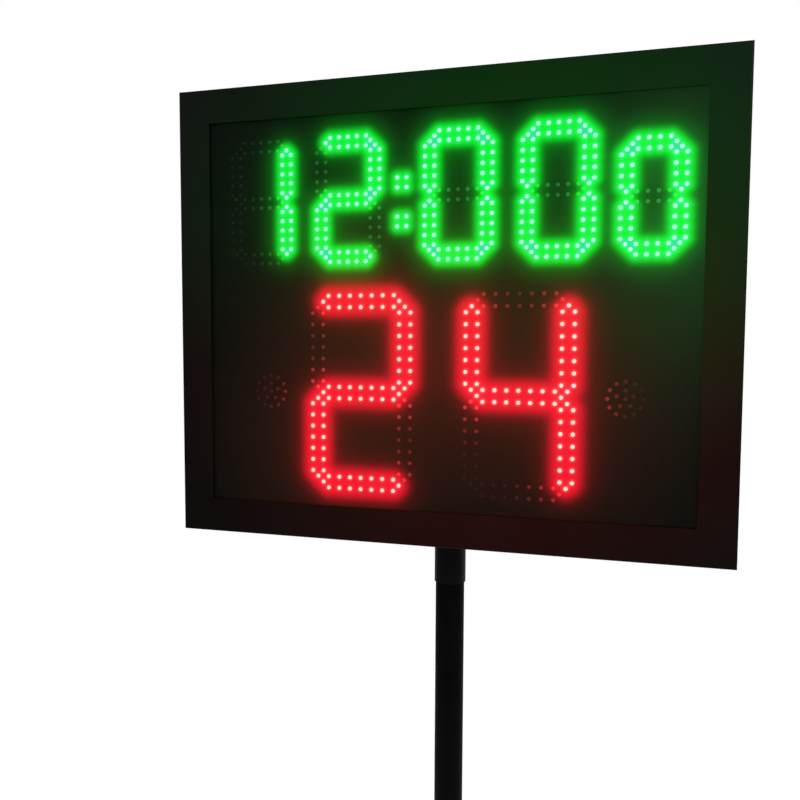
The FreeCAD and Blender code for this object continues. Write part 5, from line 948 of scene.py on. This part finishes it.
    def bell(self, x: np.ndarray, z: np.ndarray, colour: LampColour, reach_mm: float) -> np.ndarray:
        """The sum of one bell curve per lit lamp, exp(-d^2 / (2 reach^2)), over a grid of places.

        Each curve is the product of its X part and its Z part, so the sum over the lamps is a matrix product.

        Args:
            x: the grid's places along X in millimetres, g x n.
            z: the grid's places along Z in millimetres, g x m, for each of g grids.
            colour: the colour whose lit lamps shine.
            reach_mm: the standard deviation.

        Returns:
            One sum per place, g x n x m.
        """
        lamps = self.lamps(colour, True)
        along_x = np.exp(-(x[..., None] - lamps[:, 0]) ** 2 / (2 * reach_mm ** 2))
        along_z = np.exp(-(z[..., None] - lamps[:, 1]) ** 2 / (2 * reach_mm ** 2))
        return along_x @ along_z.swapaxes(-1, -2)

    def light(self, x: np.ndarray, z: np.ndarray, colour: LampColour) -> tuple[np.ndarray, np.ndarray]:
        """The near and the far light of one colour.

        The near light is 1 - exp(-s^power), where s is the sum of two narrow bell curves per lit lamp. It
        turns to the dense colour where the narrower one is high. The far light is one wide bell curve each.

        Args:
            x: places along X in millimetres, g x n.
            z: places along Z in millimetres, g x m.
            colour: the colour.

        Returns:
            The near light as a colour, and the far light as a number, for each place of the g grids.
        """
        narrow = self.bell(x, z, colour, colour.reaches_mm[0])
        wide = self.bell(x, z, colour, colour.reaches_mm[1])
        near = 1 - np.exp(-(colour.gains[0] * narrow + colour.gains[1] * wide) ** colour.power)
        dense = np.clip((narrow - self.dense_start) / self.dense_width, 0.0, 1.0)[..., None]
        tint = (1 - dense) * rgb(colour.near) + dense * rgb(colour.dense)
        return near[..., None] * tint, colour.far_gain * self.bell(x, z, colour, colour.far_mm)

    def sheet_painted_light(self, x: np.ndarray, z: np.ndarray) -> np.ndarray:
        """Painted light of the sheet: the haze, the painted reflection, and the near, the far and the halo
        glow of both colours.

        The painted reflection falls off as exp(-(dx / reach)^2 - (dz / reach)^2) from its place.

        Args:
            x: places along X in millimetres, g x n.
            z: places along Z in millimetres, g x m.

        Returns:
            One linear colour per place, g x n x m x 3.
        """
        # The reflection painted on the window's upper right side, and the faint green haze painted everywhere
        across = (x[..., :, None] - self.painted_reflection_place_mm[0]) / self.painted_reflection_reach_mm[0]
        up = (z[..., None, :] - self.painted_reflection_place_mm[1]) / self.painted_reflection_reach_mm[1]
        total = np.array(self.haze) + np.exp(-across ** 2 - up ** 2)[..., None] * np.array(self.painted_reflection)
        for colour in (GREEN, RED):
            near, far = self.light(x, z, colour)
            halo = self.bell(x, z, colour, colour.halo_mm)
            total = total + near + far[..., None] * rgb(colour.far) + halo[..., None] * np.array(colour.halo)
        return total / self.pane_share

    def lens(self) -> Shape:
        """One lens with its flange: a dome on a tube that widens to the flange.

        Returns:
            Vertices, quads and triangles in metres.
        """
        low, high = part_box(RED.node)
        dome = np.array(self.lens_rings_mm) * MM + np.array([0.0, low.y])
        flange = self.flange_mm * MM / 2
        profile = np.vstack([[[0.0, low.y]], dome, [[flange, high.y]], [[0.0, high.y]]])
        return lathe(profile, self.lens_turns)

    def lens_shares(self) -> np.ndarray:
        """The share of the core's light for each vertex of a lens, ring by ring and then its two ends."""
        rings = np.repeat(np.array(self.core_share[1:-1]), self.lens_turns)
        return np.concatenate([rings, [self.core_share[0], self.core_share[-1]]])

    def build_lenses(self, colour: LampColour, lit: bool, finish: LampLightAndPaintedGlow) -> bpy.types.Object:
        """Makes the lenses of one colour that are on or off, and paints their light: the lamps' own light on
        those that are on, and a painted glow on those that are off.

        Args:
            colour: the colour.
            lit: True for the lamps that are on.
            finish: the finish of the lenses.

        Returns:
            The piece.
        """
        places = self.lamps(colour, lit)
        seats = np.stack([places[:, 0], np.zeros(len(places)), places[:, 1]], axis=-1) * MM
        state = "lit" if lit else "unlit"
        piece = make_piece(f"{colour.name}_lenses_{state}", repeat(self.lens(), seats), finish, "display")
        share = np.tile(self.lens_shares(), len(places))[:, None]
        if lit:
            colours = (share * rgb(colour.core) + (1 - share) * rgb(colour.rim)) / self.pane_share
        else:
            # A lens that is off gets a painted glow: the sheet's painted light at its place, and light from
            # the lit lamps near it
            x, z = places[:, :1], places[:, 1:]
            own = colour.unlit_gain * self.bell(x, z, colour, colour.unlit_mm)[:, 0] / self.pane_share
            around, glow = (np.repeat(light, len(self.lens_shares()), axis=0)
                            for light in (self.sheet_painted_light(x, z)[:, 0, 0], own))
            colours = around + share * glow * rgb(colour.unlit)
        paint(piece, finish.attribute, colours)
        return piece

    def build_sheet(self) -> bpy.types.Object:
        """Makes the black sheet: a closed plate whose front is a grid fine enough for the glow painted on it.

        The rim of the grid is carried straight back, and a fan round one middle point closes the back.

        Returns:
            The piece.
        """
        low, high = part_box("lamp_mask")
        step = self.sheet_step_mm * MM
        x = np.linspace(low.x, high.x, int(round((high.x - low.x) / step)) + 1)
        z = np.linspace(low.z, high.z, int(round((high.z - low.z) / step)) + 1)
        grid_x, grid_z = np.meshgrid(x, z, indexing="ij")
        front = np.stack([grid_x, np.full(grid_x.shape, low.y), grid_z], axis=-1).reshape(-1, 3)
        number = np.arange(grid_x.size).reshape(grid_x.shape)
        quads = np.stack([number[:-1, :-1], number[1:, :-1], number[1:, 1:], number[:-1, 1:]], axis=-1)
        rim = np.concatenate([number[:-1, 0], number[-1, :-1], number[:0:-1, -1], number[0, :0:-1]])
        back = front[rim] + np.array([0.0, high.y - low.y, 0.0])
        middle = np.array([[(low.x + high.x) / 2, high.y, (low.z + high.z) / 2]])
        vertices = np.vstack([front, back, middle])
        behind = len(front) + np.arange(len(rim))
        sides = np.stack([rim, behind, np.roll(behind, -1), np.roll(rim, -1)], axis=-1)
        fan = np.stack([np.full(len(rim), len(vertices) - 1), np.roll(behind, -1), behind], axis=-1)
        shape = (vertices, np.vstack([quads.reshape(-1, 4), sides]), fan)
        piece = make_piece("lamp_sheet_painted_glow", shape, MASK_SHEET, "display", smooth=False)
        # The front carries the painted glow of the lamps, the painted reflection and the haze, as emission;
        # the back stays dark
        light = np.zeros((len(vertices), 3))
        light[:len(front)] = self.sheet_painted_light(x[None] / MM, z[None] / MM).reshape(-1, 3)
        paint(piece, MASK_SHEET.attribute, light)
        return piece

    def check(self) -> None:
        """Compares the lamps' outermost places with the CAD nodes' boxes."""
        for colour in (GREEN, RED):
            places = np.vstack([self.lamps(colour, True), self.lamps(colour, False)])
            box = np.array(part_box(colour.node))[:, [0, 2]] / MM
            flange = self.flange_mm / 2
            reach = np.array([places.min(axis=0) - flange, places.max(axis=0) + flange])
            gap = np.abs(reach - box).max()
            LOG.info("%s lamps: %d, at most %.3f mm from the CAD lamps' box", colour.name, len(places), gap)

    def build(self) -> None:
        """Makes the lenses and the sheet, and dresses the boards behind them."""
        self.check()
        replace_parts(self.build_lenses(RED, True, RED_LIT_LENS), RED.node)
        self.build_lenses(RED, False, RED_UNLIT_LENS)
        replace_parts(self.build_lenses(GREEN, True, GREEN_LIT_LENS), GREEN.node)
        self.build_lenses(GREEN, False, GREEN_UNLIT_LENS)
        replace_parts(self.build_sheet(), "lamp_mask")
        wear(LAMP_BOARD, "red_lamp_boards", "green_lamp_boards")
        wear(TURNED_BRASS, "board_spacers")
        wear(ZINC_STEEL, "board_screws")


@dataclass(frozen=True)
class PanScrew:
    """A screw with a domed head and a cross recess, which points along -Y.

    Attributes:
        head_mm: the diameter of its head.
        height_mm: the height of its head.
        shank_mm: the diameter of its shank.
        length_mm: the length of its shank.
        arm_mm: how far each arm of the recess reaches from the middle.
        slot_mm: the half width of an arm.
        recess_mm: the depth of the recess.
        turns: the sides of the screw.
        hub_mm: the radius of the innermost ring of the head's top.
        rings: how many rings the head's top has.
        drop: how much lower the head's rim lies, as a share of its height.
        tip_width: the width of the tip as a share of the shank's.
        tip_length: the length over which the shank narrows to it, as a share of the shank's radius.
    """

    head_mm: float
    height_mm: float
    shank_mm: float
    length_mm: float
    arm_mm: float = 2.0
    slot_mm: float = 0.55
    recess_mm: float = 1.2
    turns: int = 32
    hub_mm: float = 0.3
    rings: int = 13
    drop: float = 0.4
    tip_width: float = 0.8
    tip_length: float = 0.3

    def shape(self) -> Shape:
        """One screw with the underside of its head at the origin.

        The top of the head at radius r is height (1 - drop (r / R)^4), and the recess takes its depth off
        where the smaller of |x| and |z| is under its half width and the larger one is within its arm.

        Returns:
            Vertices, quads and triangles in metres.
        """
        radius = self.head_mm / 2
        rings = np.linspace(radius, self.hub_mm, self.rings)
        top = self.height_mm * (1 - self.drop * (rings / radius) ** 4)
        shank = self.shank_mm / 2
        tip = -self.length_mm
        stem = [[0.0, tip], [shank * self.tip_width, tip], [shank, tip + shank * self.tip_length],
                [shank, 0.0], [radius, 0.0]]
        profile = np.vstack([stem, np.stack([rings, top], axis=-1), [[0.0, self.height_mm]]])
        vertices, quads, triangles = lathe(profile, self.turns)
        across = np.sort(np.abs(vertices[:, [0, 2]]), axis=1)
        inside = (across[:, 0] < self.slot_mm) & (across[:, 1] < self.arm_mm) & (vertices[:, 1] > 0.0)
        vertices[:, 1] -= inside * self.recess_mm
        return vertices * MM, quads, triangles


@dataclass
class Housing:
    """The sheet-metal housing, its window and what holds the window.

    Attributes:
        cover_screw: the screws round the cover.
        bracket_screw: the screws of the chassis brackets.
        cover_columns_mm: the places across of the screws along the cover's upper and lower edges.
        cover_rows_mm: the levels of the screws along the cover's side edges, corners left out.
        cover_edges_mm: the levels of the lower and the upper row.
        bracket_mm: the places across and the levels of the bracket screws.
        bracket_seat_mm: where the undersides of the bracket screws' heads lie along Y.
    """

    cover_screw: PanScrew = PanScrew(7.5, 2.4, 4.0, 10.0)
    bracket_screw: PanScrew = PanScrew(7.0, 2.4, 4.0, 5.5)
    cover_columns_mm: tuple[float, ...] = (-311.0, -155.5, 0.0, 155.5, 311.0)
    cover_rows_mm: tuple[float, ...] = (1352.0, 1480.0, 1608.0)
    cover_edges_mm: tuple[float, float] = (1224.0, 1736.0)
    bracket_mm: Triple = (307.0, 1330.0, 1630.0)
    bracket_seat_mm: float = -51.3

    def screws(self) -> bpy.types.Object:
        """Makes the screws of the cover and of the chassis brackets.

        Returns:
            The piece.
        """
        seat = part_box("rear_cover")[1].y / MM
        rims = [(x, seat, z) for x in self.cover_columns_mm for z in self.cover_edges_mm]
        sides = [(side * self.cover_columns_mm[-1], seat, z) for side in SIDES for z in self.cover_rows_mm]
        across, low, high = self.bracket_mm
        inner = [(side * across, self.bracket_seat_mm, z) for side in SIDES for z in (low, high)]
        shape = gather([repeat(self.cover_screw.shape(), np.array(rims + sides) * MM),
                        repeat(self.bracket_screw.shape(), np.array(inner) * MM)])
        return make_piece("cover_and_bracket_screws", shape, ZINC_STEEL, "display", smooth=False)

    def build(self) -> None:
        """Dresses the housing and makes its screws."""
        wear(HOUSING_COAT, "front_shell")
        wear(COVER_COAT, "rear_cover", "horn_grille")
        wear(SMOKED_PANE, "window_pane")
        wear(GASKET_FOAM, "window_gasket")
        wear(BARE_ALUMINIUM, "pane_strips", "chassis_plate", "chassis_brackets", "rear_spine")
        wear(ZINC_STEEL, "pane_fasteners", "wall_inserts")
        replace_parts(self.screws(), "housing_screws")


class Electronics:
    """The boards, cables and supply inside the housing."""

    def build(self) -> None:
        """Dresses the pieces inside."""
        wear(LOGIC_BOARD, "control_board", "supply_board")
        wear(BLACK_NYLON, "control_components", "horn_body")
        wear(FLAT_CABLE, "ribbon_cables")
        wear(BLACK_RUBBER, "inner_leads")
        wear(ZINC_STEEL, "radio_receiver")
        wear(BARE_ALUMINIUM, "supply_case")
        wear(PAPER_CONE, "horn_cone")


@dataclass
class RearFittings:
    """What is used on the back: inlet, fuse, switch, sockets, buttons and aerial.

    Attributes:
        rocker_mm: the middle of the switch across.
        on_face_mm: the middle of the rocker's pressed half, as Y and Z.
        off_face_mm: the middle of its raised half.
        face_leans: how far each half leans back from upright, in degrees.
        mark_bar_mm: the width and the height of the bar that marks the pressed half.
        mark_ring_mm: the outer and the inner radius of the ring that marks the raised half.
        print_mm: the height of the print over the rocker, and how far it reaches in.
        ring_turns: the sides of the ring.
        panel_screw: the screws of the inlet and of the data socket.
        grille_screw: the screws of the horn's grille.
        inlet_screws_mm: the places of the inlet's screws, as X, Y and Z.
        data_screws_mm: the places of the data socket's screws.
        grille_mm: the middle of the grille, and the seat of its screws.
        grille_spread_mm: how far the grille's screws sit from its middle, across and up.
        nut_mm: the width over the flats, the front and the back of the nuts inside the horn.
        nut_sides: the sides of a nut.
    """

    rocker_mm: float = 244.0
    on_face_mm: tuple[float, float] = (-22.17, 1279.3)
    off_face_mm: tuple[float, float] = (-20.88, 1271.1)
    face_leans: tuple[float, float] = (1.1, 16.9)
    mark_bar_mm: tuple[float, float] = (1.1, 4.6)
    mark_ring_mm: tuple[float, float] = (2.4, 1.7)
    print_mm: tuple[float, float] = (0.06, 0.1)
    ring_turns: int = 40
    panel_screw: PanScrew = PanScrew(5.6, 1.8, 3.0, 6.2, arm_mm=1.5, slot_mm=0.42, recess_mm=0.9, turns=24)
    grille_screw: PanScrew = PanScrew(5.5, 2.0, 3.0, 7.4, arm_mm=1.5, slot_mm=0.42, recess_mm=1.0, turns=24)
    inlet_screws_mm: tuple[Triple, ...] = ((166.0, -22.5, 1274.0), (206.0, -22.5, 1274.0))
    data_screws_mm: tuple[Triple, ...] = ((-140.0, -23.0, 1262.0), (-140.0, -23.0, 1286.0))
    grille_mm: Triple = (-222.0, -23.5, 1312.0)
    grille_spread_mm: float = 30.76
    nut_mm: Triple = (5.5, -30.9, -28.5)
    nut_sides: int = 6

    def screws(self) -> bpy.types.Object:
        """Makes the small screws of the fittings, and the nuts of those of the grille.

        A nut is a turned shape of six sides. Its corners lie at the width over its flats divided by the
        square root of three, and it is turned by 90 degrees about Y, so that two of them point up and down.

        Returns:
            The piece.
        """
        panel = np.array(self.inlet_screws_mm + self.data_screws_mm) * MM
        x, seat, z = self.grille_mm
        corners = [(x + across * self.grille_spread_mm, z + up * self.grille_spread_mm)
                   for across in SIDES for up in SIDES]
        flats, near, far = self.nut_mm
        corner = flats / np.sqrt(3)
        profile = np.array([[0.0, near], [corner, near], [corner, far], [0.0, far]])
        nut, quads, triangles = lathe(profile, self.nut_sides)
        nut = nut[:, [2, 1, 0]] * np.array([-1.0, 1.0, 1.0]) * MM
        shape = gather([repeat(self.panel_screw.shape(), panel),
                        repeat(self.grille_screw.shape(), np.array([(u, seat, v) for u, v in corners]) * MM),
                        repeat((nut, quads, triangles), np.array([(u, 0.0, v) for u, v in corners]) * MM)])
        return make_piece("small_screws", shape, ZINC_STEEL, "display", smooth=False)

    def bar(self) -> Shape:
        """The bar, flat in X and Z round the origin, with its corners at half its width and half its height.

        Returns:
            Vertices in millimetres, quads and no triangles.
        """
        width, height = self.mark_bar_mm
        corners = np.array([[-1, -1], [1, -1], [1, 1], [-1, 1]]) * np.array([width, height]) / 2
        return self.band(corners[:, 0], corners[:, 1], None)

    def ring(self) -> Shape:
        """The ring, flat in X and Z round the origin.

        Point k of its outline lies at the outer radius and at the angle 2 pi k / turns.

        Returns:
            Vertices in millimetres, quads and no triangles.
        """
        outer, inner = self.mark_ring_mm
        angle = np.arange(self.ring_turns) * 2 * np.pi / self.ring_turns
        return self.band(outer * np.cos(angle), outer * np.sin(angle), inner / outer)

    def band(self, x: np.ndarray, z: np.ndarray, hole_share: float | None) -> Shape:
        """A plate with an outline, with a hole of the same outline scaled down if a share is given.

        The loops of vertices are the outline in front and behind, then the hole behind and in front. Quads
        join each loop to the next one, and the plate without a hole is closed by one quad on each side.

        Args:
            x: the outline across, against the clock seen from -Y.
            z: the outline up.
            hole_share: the size of the hole as a share of the outline.

        Returns:
            Vertices in millimetres, quads and no triangles.
        """
        proud, sunk = self.print_mm
        shares = (1.0, 1.0) if hole_share is None else (1.0, 1.0, hole_share, hole_share)
        depths = (proud, -sunk) if hole_share is None else (proud, -sunk, -sunk, proud)
        loops = [np.stack([share * x, np.full(len(x), depth), share * z], axis=-1)
                 for share, depth in zip(shares, depths)]
        count = len(x)
        step = np.arange(count)
        after = (step + 1) % count
        joins = len(loops) if hole_share is not None else len(loops) - 1
        pairs = [(k * count, (k + 1) % len(loops) * count) for k in range(joins)]
        quads = [np.stack([first + step, first + after, second + after, second + step], axis=-1)
                 for first, second in pairs]
        if hole_share is None:
            quads.append(np.array([[3, 2, 1, 0], [4, 5, 6, 7]]))
        return np.vstack(loops), np.vstack(quads), np.zeros((0, 3), dtype=int)

    def marks(self) -> bpy.types.Object:
        """Prints the on and off marks on the rocker, on which they ride.

        Each mark is turned about X by the lean of its half, and then moved to the middle of that half.

        Returns:
            The piece.
        """
        prints = []
        faces = zip((self.bar(), self.ring()), (self.on_face_mm, self.off_face_mm), self.face_leans)
        for (flat, quads, triangles), (depth, level), lean in faces:
            turn = np.radians(lean)
            leant = np.stack([flat[:, 0], flat[:, 1] * np.cos(turn) - flat[:, 2] * np.sin(turn),
                              flat[:, 1] * np.sin(turn) + flat[:, 2] * np.cos(turn)], axis=-1)
            prints.append(((leant + np.array([self.rocker_mm, depth, level])) * MM, quads, triangles))
        return make_piece("switch_marks", gather(prints), WHITE_PRINT, "rocker", smooth=False)

    def build(self) -> None:
        """Dresses the fittings, makes their screws and prints the switch's marks."""
        self.marks()
        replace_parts(self.screws(), "fitting_screws")
        wear(BLACK_NYLON, "power_inlet", "data_socket", "switch_body", "fuse_holder", "fuse_cap",
             "set_button", "aerial_elbow")
        wear(RED_NYLON, "switch_rocker", "test_button")
        wear(NICKEL_BRASS, "inlet_pins")
        wear(FUSE_GLASS, "fuse_link")
        wear(TURNED_BRASS, "aerial_socket")
        wear(BLACK_RUBBER, "aerial_whip")


class Stand:
    """The sleeve, the telescopic pole and the base."""

    def build(self) -> None:
        """Dresses the stand."""
        wear(STAND_COAT, "pole_sleeve", "lower_tube")
        wear(POLE_COAT, "pole")
        wear(PLATE_COAT, "sleeve_saddles", "base_plate", "base_hub")
        wear(BLACK_NYLON, "sleeve_cap", "head_knob", "pole_plug", "pole_shoe", "pole_bush", "clamp_collar",
             "collar_knob")
        wear(ZINC_STEEL, "saddle_bolts", "head_knob_screw", "collar_knob_screw", "base_fasteners")
        wear(BLACK_RUBBER, "rubber_feet")


@dataclass(frozen=True)
class SoftLamp:
    """A square lamp of the studio.

    Attributes:
        name: its name.
        place: where it is, in metres.
        level: the brightness that it adds to a white surface turned to it.
    """

    name: str
    place: Triple
    level: float


@dataclass
class Studio:
    """A pale floor, soft light and the camera. Lengths are in metres, apart from those in _mm.

    Attributes:
        camera_place: where the camera is.
        camera_forward: the way it looks.
        camera_up: its upward side.
        lens_mm: its focal length.
        sensor_mm: the width of its sensor.
        floor_radius: the half width of the floor.
        floor_clear: the radius at which the floor starts to fade into the backdrop.
        floor_sides: the sides of the floor.
        floor_shades: the two colours of its speckle.
        speckle_mm: the size of that speckle.
        floor_gloss: its roughness, and how strongly it mirrors.
        floor_lift: the grey that the camera sees added to it, so that it comes near the backdrop's white.
        ambient: the level of the light from all round.
        room: the level of what gloss mirrors before the display.
        low_backdrop: the level of what gloss mirrors low behind the display, where it is one high up.
        backdrop_rise: the Z of a mirrored direction at which that level starts to rise, and reaches one.
        backdrop_turn: its Y at which the room's level starts to give way, and at which it is gone.
        target: what the lamps point at.
        lamp_width: the width of a lamp.
        lamps: the lamps.
    """

    camera_place: Triple = (0.2261, -0.9813, 1.4486)
    camera_forward: Triple = (-0.2839, 0.9562, -0.0709)
    camera_up: Triple = (-0.0242, 0.0668, 0.9975)
    lens_mm: float = 37.378
    sensor_mm: float = 36.0
    floor_radius: float = 4.0
    floor_clear: float = 0.9
    floor_sides: int = 64
    floor_shades: tuple[str, str] = ("#E4E4E2", "#EAEAE8")
    speckle_mm: float = 3.0
    floor_gloss: tuple[float, float] = (0.9, 0.1)
    floor_lift: float = 0.3
    ambient: float = 0.62
    room: float = 0.11
    low_backdrop: float = 0.45
    backdrop_rise: tuple[float, float] = (-0.3, 0.8)
    backdrop_turn: tuple[float, float] = (-0.1, 0.9)
    target: Triple = (0.0, 0.0, 1.1)
    lamp_width: float = 1.6
    lamps: tuple[SoftLamp, ...] = (SoftLamp("key", (2.4, -2.2, 3.4), 0.42),
                                   SoftLamp("fill", (-2.8, -1.0, 2.6), 0.2),
                                   SoftLamp("back", (-1.2, 2.8, 2.8), 0.4))

    def camera(self) -> None:
        """Puts the camera at the photograph's place."""
        data = bpy.data.cameras.new("camera")
        data.sensor_width = self.sensor_mm
        data.sensor_fit = "HORIZONTAL"
        data.lens = self.lens_mm
        camera = bpy.data.objects.new("camera", data)
        bpy.context.scene.collection.objects.link(camera)
        forward = Vector(self.camera_forward).normalized()
        right = forward.cross(Vector(self.camera_up)).normalized()
        up = right.cross(forward)
        turn = Matrix((right, up, -forward)).transposed().to_4x4()
        camera.matrix_world = Matrix.Translation(Vector(self.camera_place)) @ turn
        bpy.context.scene.camera = camera

    def world(self) -> None:
        """White for the camera. Gloss mirrors a white backdrop behind the display and a dim one before it."""
        world = bpy.data.worlds.new("studio")
        world.use_nodes = True
        bpy.context.scene.world = world
        tree = world.node_tree
        tree.nodes.clear()
        path = add_node(tree, "ShaderNodeLightPath")
        way = add_node(tree, "ShaderNodeTexCoord").outputs["Generated"]
        parts = add_node(tree, "ShaderNodeSeparateXYZ", inputs={0: way})
        low, high = self.backdrop_rise
        upper = add_node(tree, "ShaderNodeMapRange",
                         inputs={"Value": parts.outputs["Z"], "From Min": low, "From Max": high,
                                 "To Min": self.low_backdrop, "To Max": 1.0}).outputs["Result"]
        start, end = self.backdrop_turn
        level = add_node(tree, "ShaderNodeMapRange", {"interpolation_type": "SMOOTHSTEP"},
                         {"Value": parts.outputs["Y"], "From Min": start, "From Max": end,
                          "To Min": self.room, "To Max": upper})
        gloss = add_node(tree, "ShaderNodeMath", {"operation": "MAXIMUM"},
                         {0: path.outputs["Is Glossy Ray"], 1: path.outputs["Is Transmission Ray"]})
        mirrored = add_node(tree, "ShaderNodeMix", COLOUR_MIX,
                            {MIX_FACTOR: gloss.outputs[0], MIX_A: (self.ambient,) * 3 + (1.0,),
                             MIX_B: level.outputs["Result"]})
        seen = add_node(tree, "ShaderNodeMix", COLOUR_MIX,
                        {MIX_FACTOR: path.outputs["Is Camera Ray"], MIX_A: mirrored.outputs[MIX_RESULT],
                         MIX_B: WHITE})
        back = add_node(tree, "ShaderNodeBackground",
                        inputs={"Color": seen.outputs[MIX_RESULT], "Strength": 1.0})
        add_node(tree, "ShaderNodeOutputWorld", inputs={"Surface": back.outputs[0]})
        world.cycles.sampling_method = "NONE"

    def floor(self) -> None:
        """A pale matt floor that keeps the shadow and fades into the backdrop away from the stand.

        It is one flat face, with its corners at the angles 2 pi k / sides.
        """
        angles = 2 * np.pi * np.arange(self.floor_sides) / self.floor_sides
        ring = np.stack([np.cos(angles), np.sin(angles), np.zeros(self.floor_sides)], axis=-1)
        mesh = bpy.data.meshes.new("floor")
        mesh.from_pydata((ring * self.floor_radius).tolist(), [], [list(range(self.floor_sides))])
        floor = bpy.data.objects.new("floor", mesh)
        bpy.context.scene.collection.objects.link(floor)
        mesh.materials.append(self.floor_vinyl())

    def floor_vinyl(self) -> bpy.types.Material:
        """Matt white vinyl with a fine speckle, which turns clear away from the stand.

        Returns:
            The material.
        """
        material = bpy.data.materials.new("matt_vinyl_floor_white")
        material.use_nodes = True
        tree = material.node_tree
        tree.nodes.clear()
        first, second = (linear(shade) for shade in self.floor_shades)
        colour = add_node(tree, "ShaderNodeMix", COLOUR_MIX,
                          {MIX_FACTOR: noise(tree, self.speckle_mm), MIX_A: first, MIX_B: second})
        roughness, specular = self.floor_gloss
        camera_ray = add_node(tree, "ShaderNodeLightPath").outputs["Is Camera Ray"]
        lift = add_node(tree, "ShaderNodeMix", COLOUR_MIX,
                        {MIX_FACTOR: camera_ray, MIX_A: BLACK, MIX_B: (self.floor_lift,) * 3 + (1.0,)})
        shader = add_node(tree, "ShaderNodeBsdfPrincipled",
                          inputs={"Base Color": colour.outputs[MIX_RESULT], "Roughness": roughness,
                                  "Specular IOR Level": specular, "Emission Color": lift.outputs[MIX_RESULT],
                                  "Emission Strength": 1.0})
        clear = add_node(tree, "ShaderNodeBsdfTransparent")
        place = add_node(tree, "ShaderNodeTexCoord").outputs["Object"]
        reach = add_node(tree, "ShaderNodeVectorMath", {"operation": "LENGTH"}, {0: place}).outputs["Value"]
        start = self.floor_clear
        fade = add_node(tree, "ShaderNodeMapRange",
                        inputs={"Value": reach, "From Min": start, "From Max": 2 * start})
        mixed = add_node(tree, "ShaderNodeMixShader",
                         inputs={0: fade.outputs["Result"], 1: shader.outputs[0], 2: clear.outputs[0]})
        add_node(tree, "ShaderNodeOutputMaterial", inputs={"Surface": mixed.outputs[0]})
        return material

    def light(self, lamp: SoftLamp) -> None:
        """Adds a soft lamp.

        The power is level times pi squared times the square of the distance, because a square lamp gives
        power / (pi distance^2), and a matt surface gives back 1 / pi of that.

        Args:
            lamp: the lamp.
        """
        data = bpy.data.lights.new(lamp.name, "AREA")
        data.size = self.lamp_width
        way = Vector(self.target) - Vector(lamp.place)
        data.energy = lamp.level * np.pi ** 2 * way.length_squared
        light = bpy.data.objects.new(lamp.name, data)
        bpy.context.scene.collection.objects.link(light)
        turn = way.to_track_quat("-Z", "Y").to_matrix().to_4x4()
        light.matrix_world = Matrix.Translation(Vector(lamp.place)) @ turn

    def build(self) -> None:
        """Makes the studio."""
        self.camera()
        self.world()
        self.floor()
        for lamp in self.lamps:
            self.light(lamp)
        bpy.context.scene.view_settings.view_transform = "Standard"


def main() -> None:
    """Builds the looks in order."""
    logging.basicConfig(level=logging.INFO, format="%(name)s: %(message)s")
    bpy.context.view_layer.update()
    for assembly in (Lamps(), Housing(), Electronics(), RearFittings(), Stand(), Studio()):
        LOG.info("building %s", type(assembly).__name__)
        assembly.build()


if __name__ == "__main__":
    main()
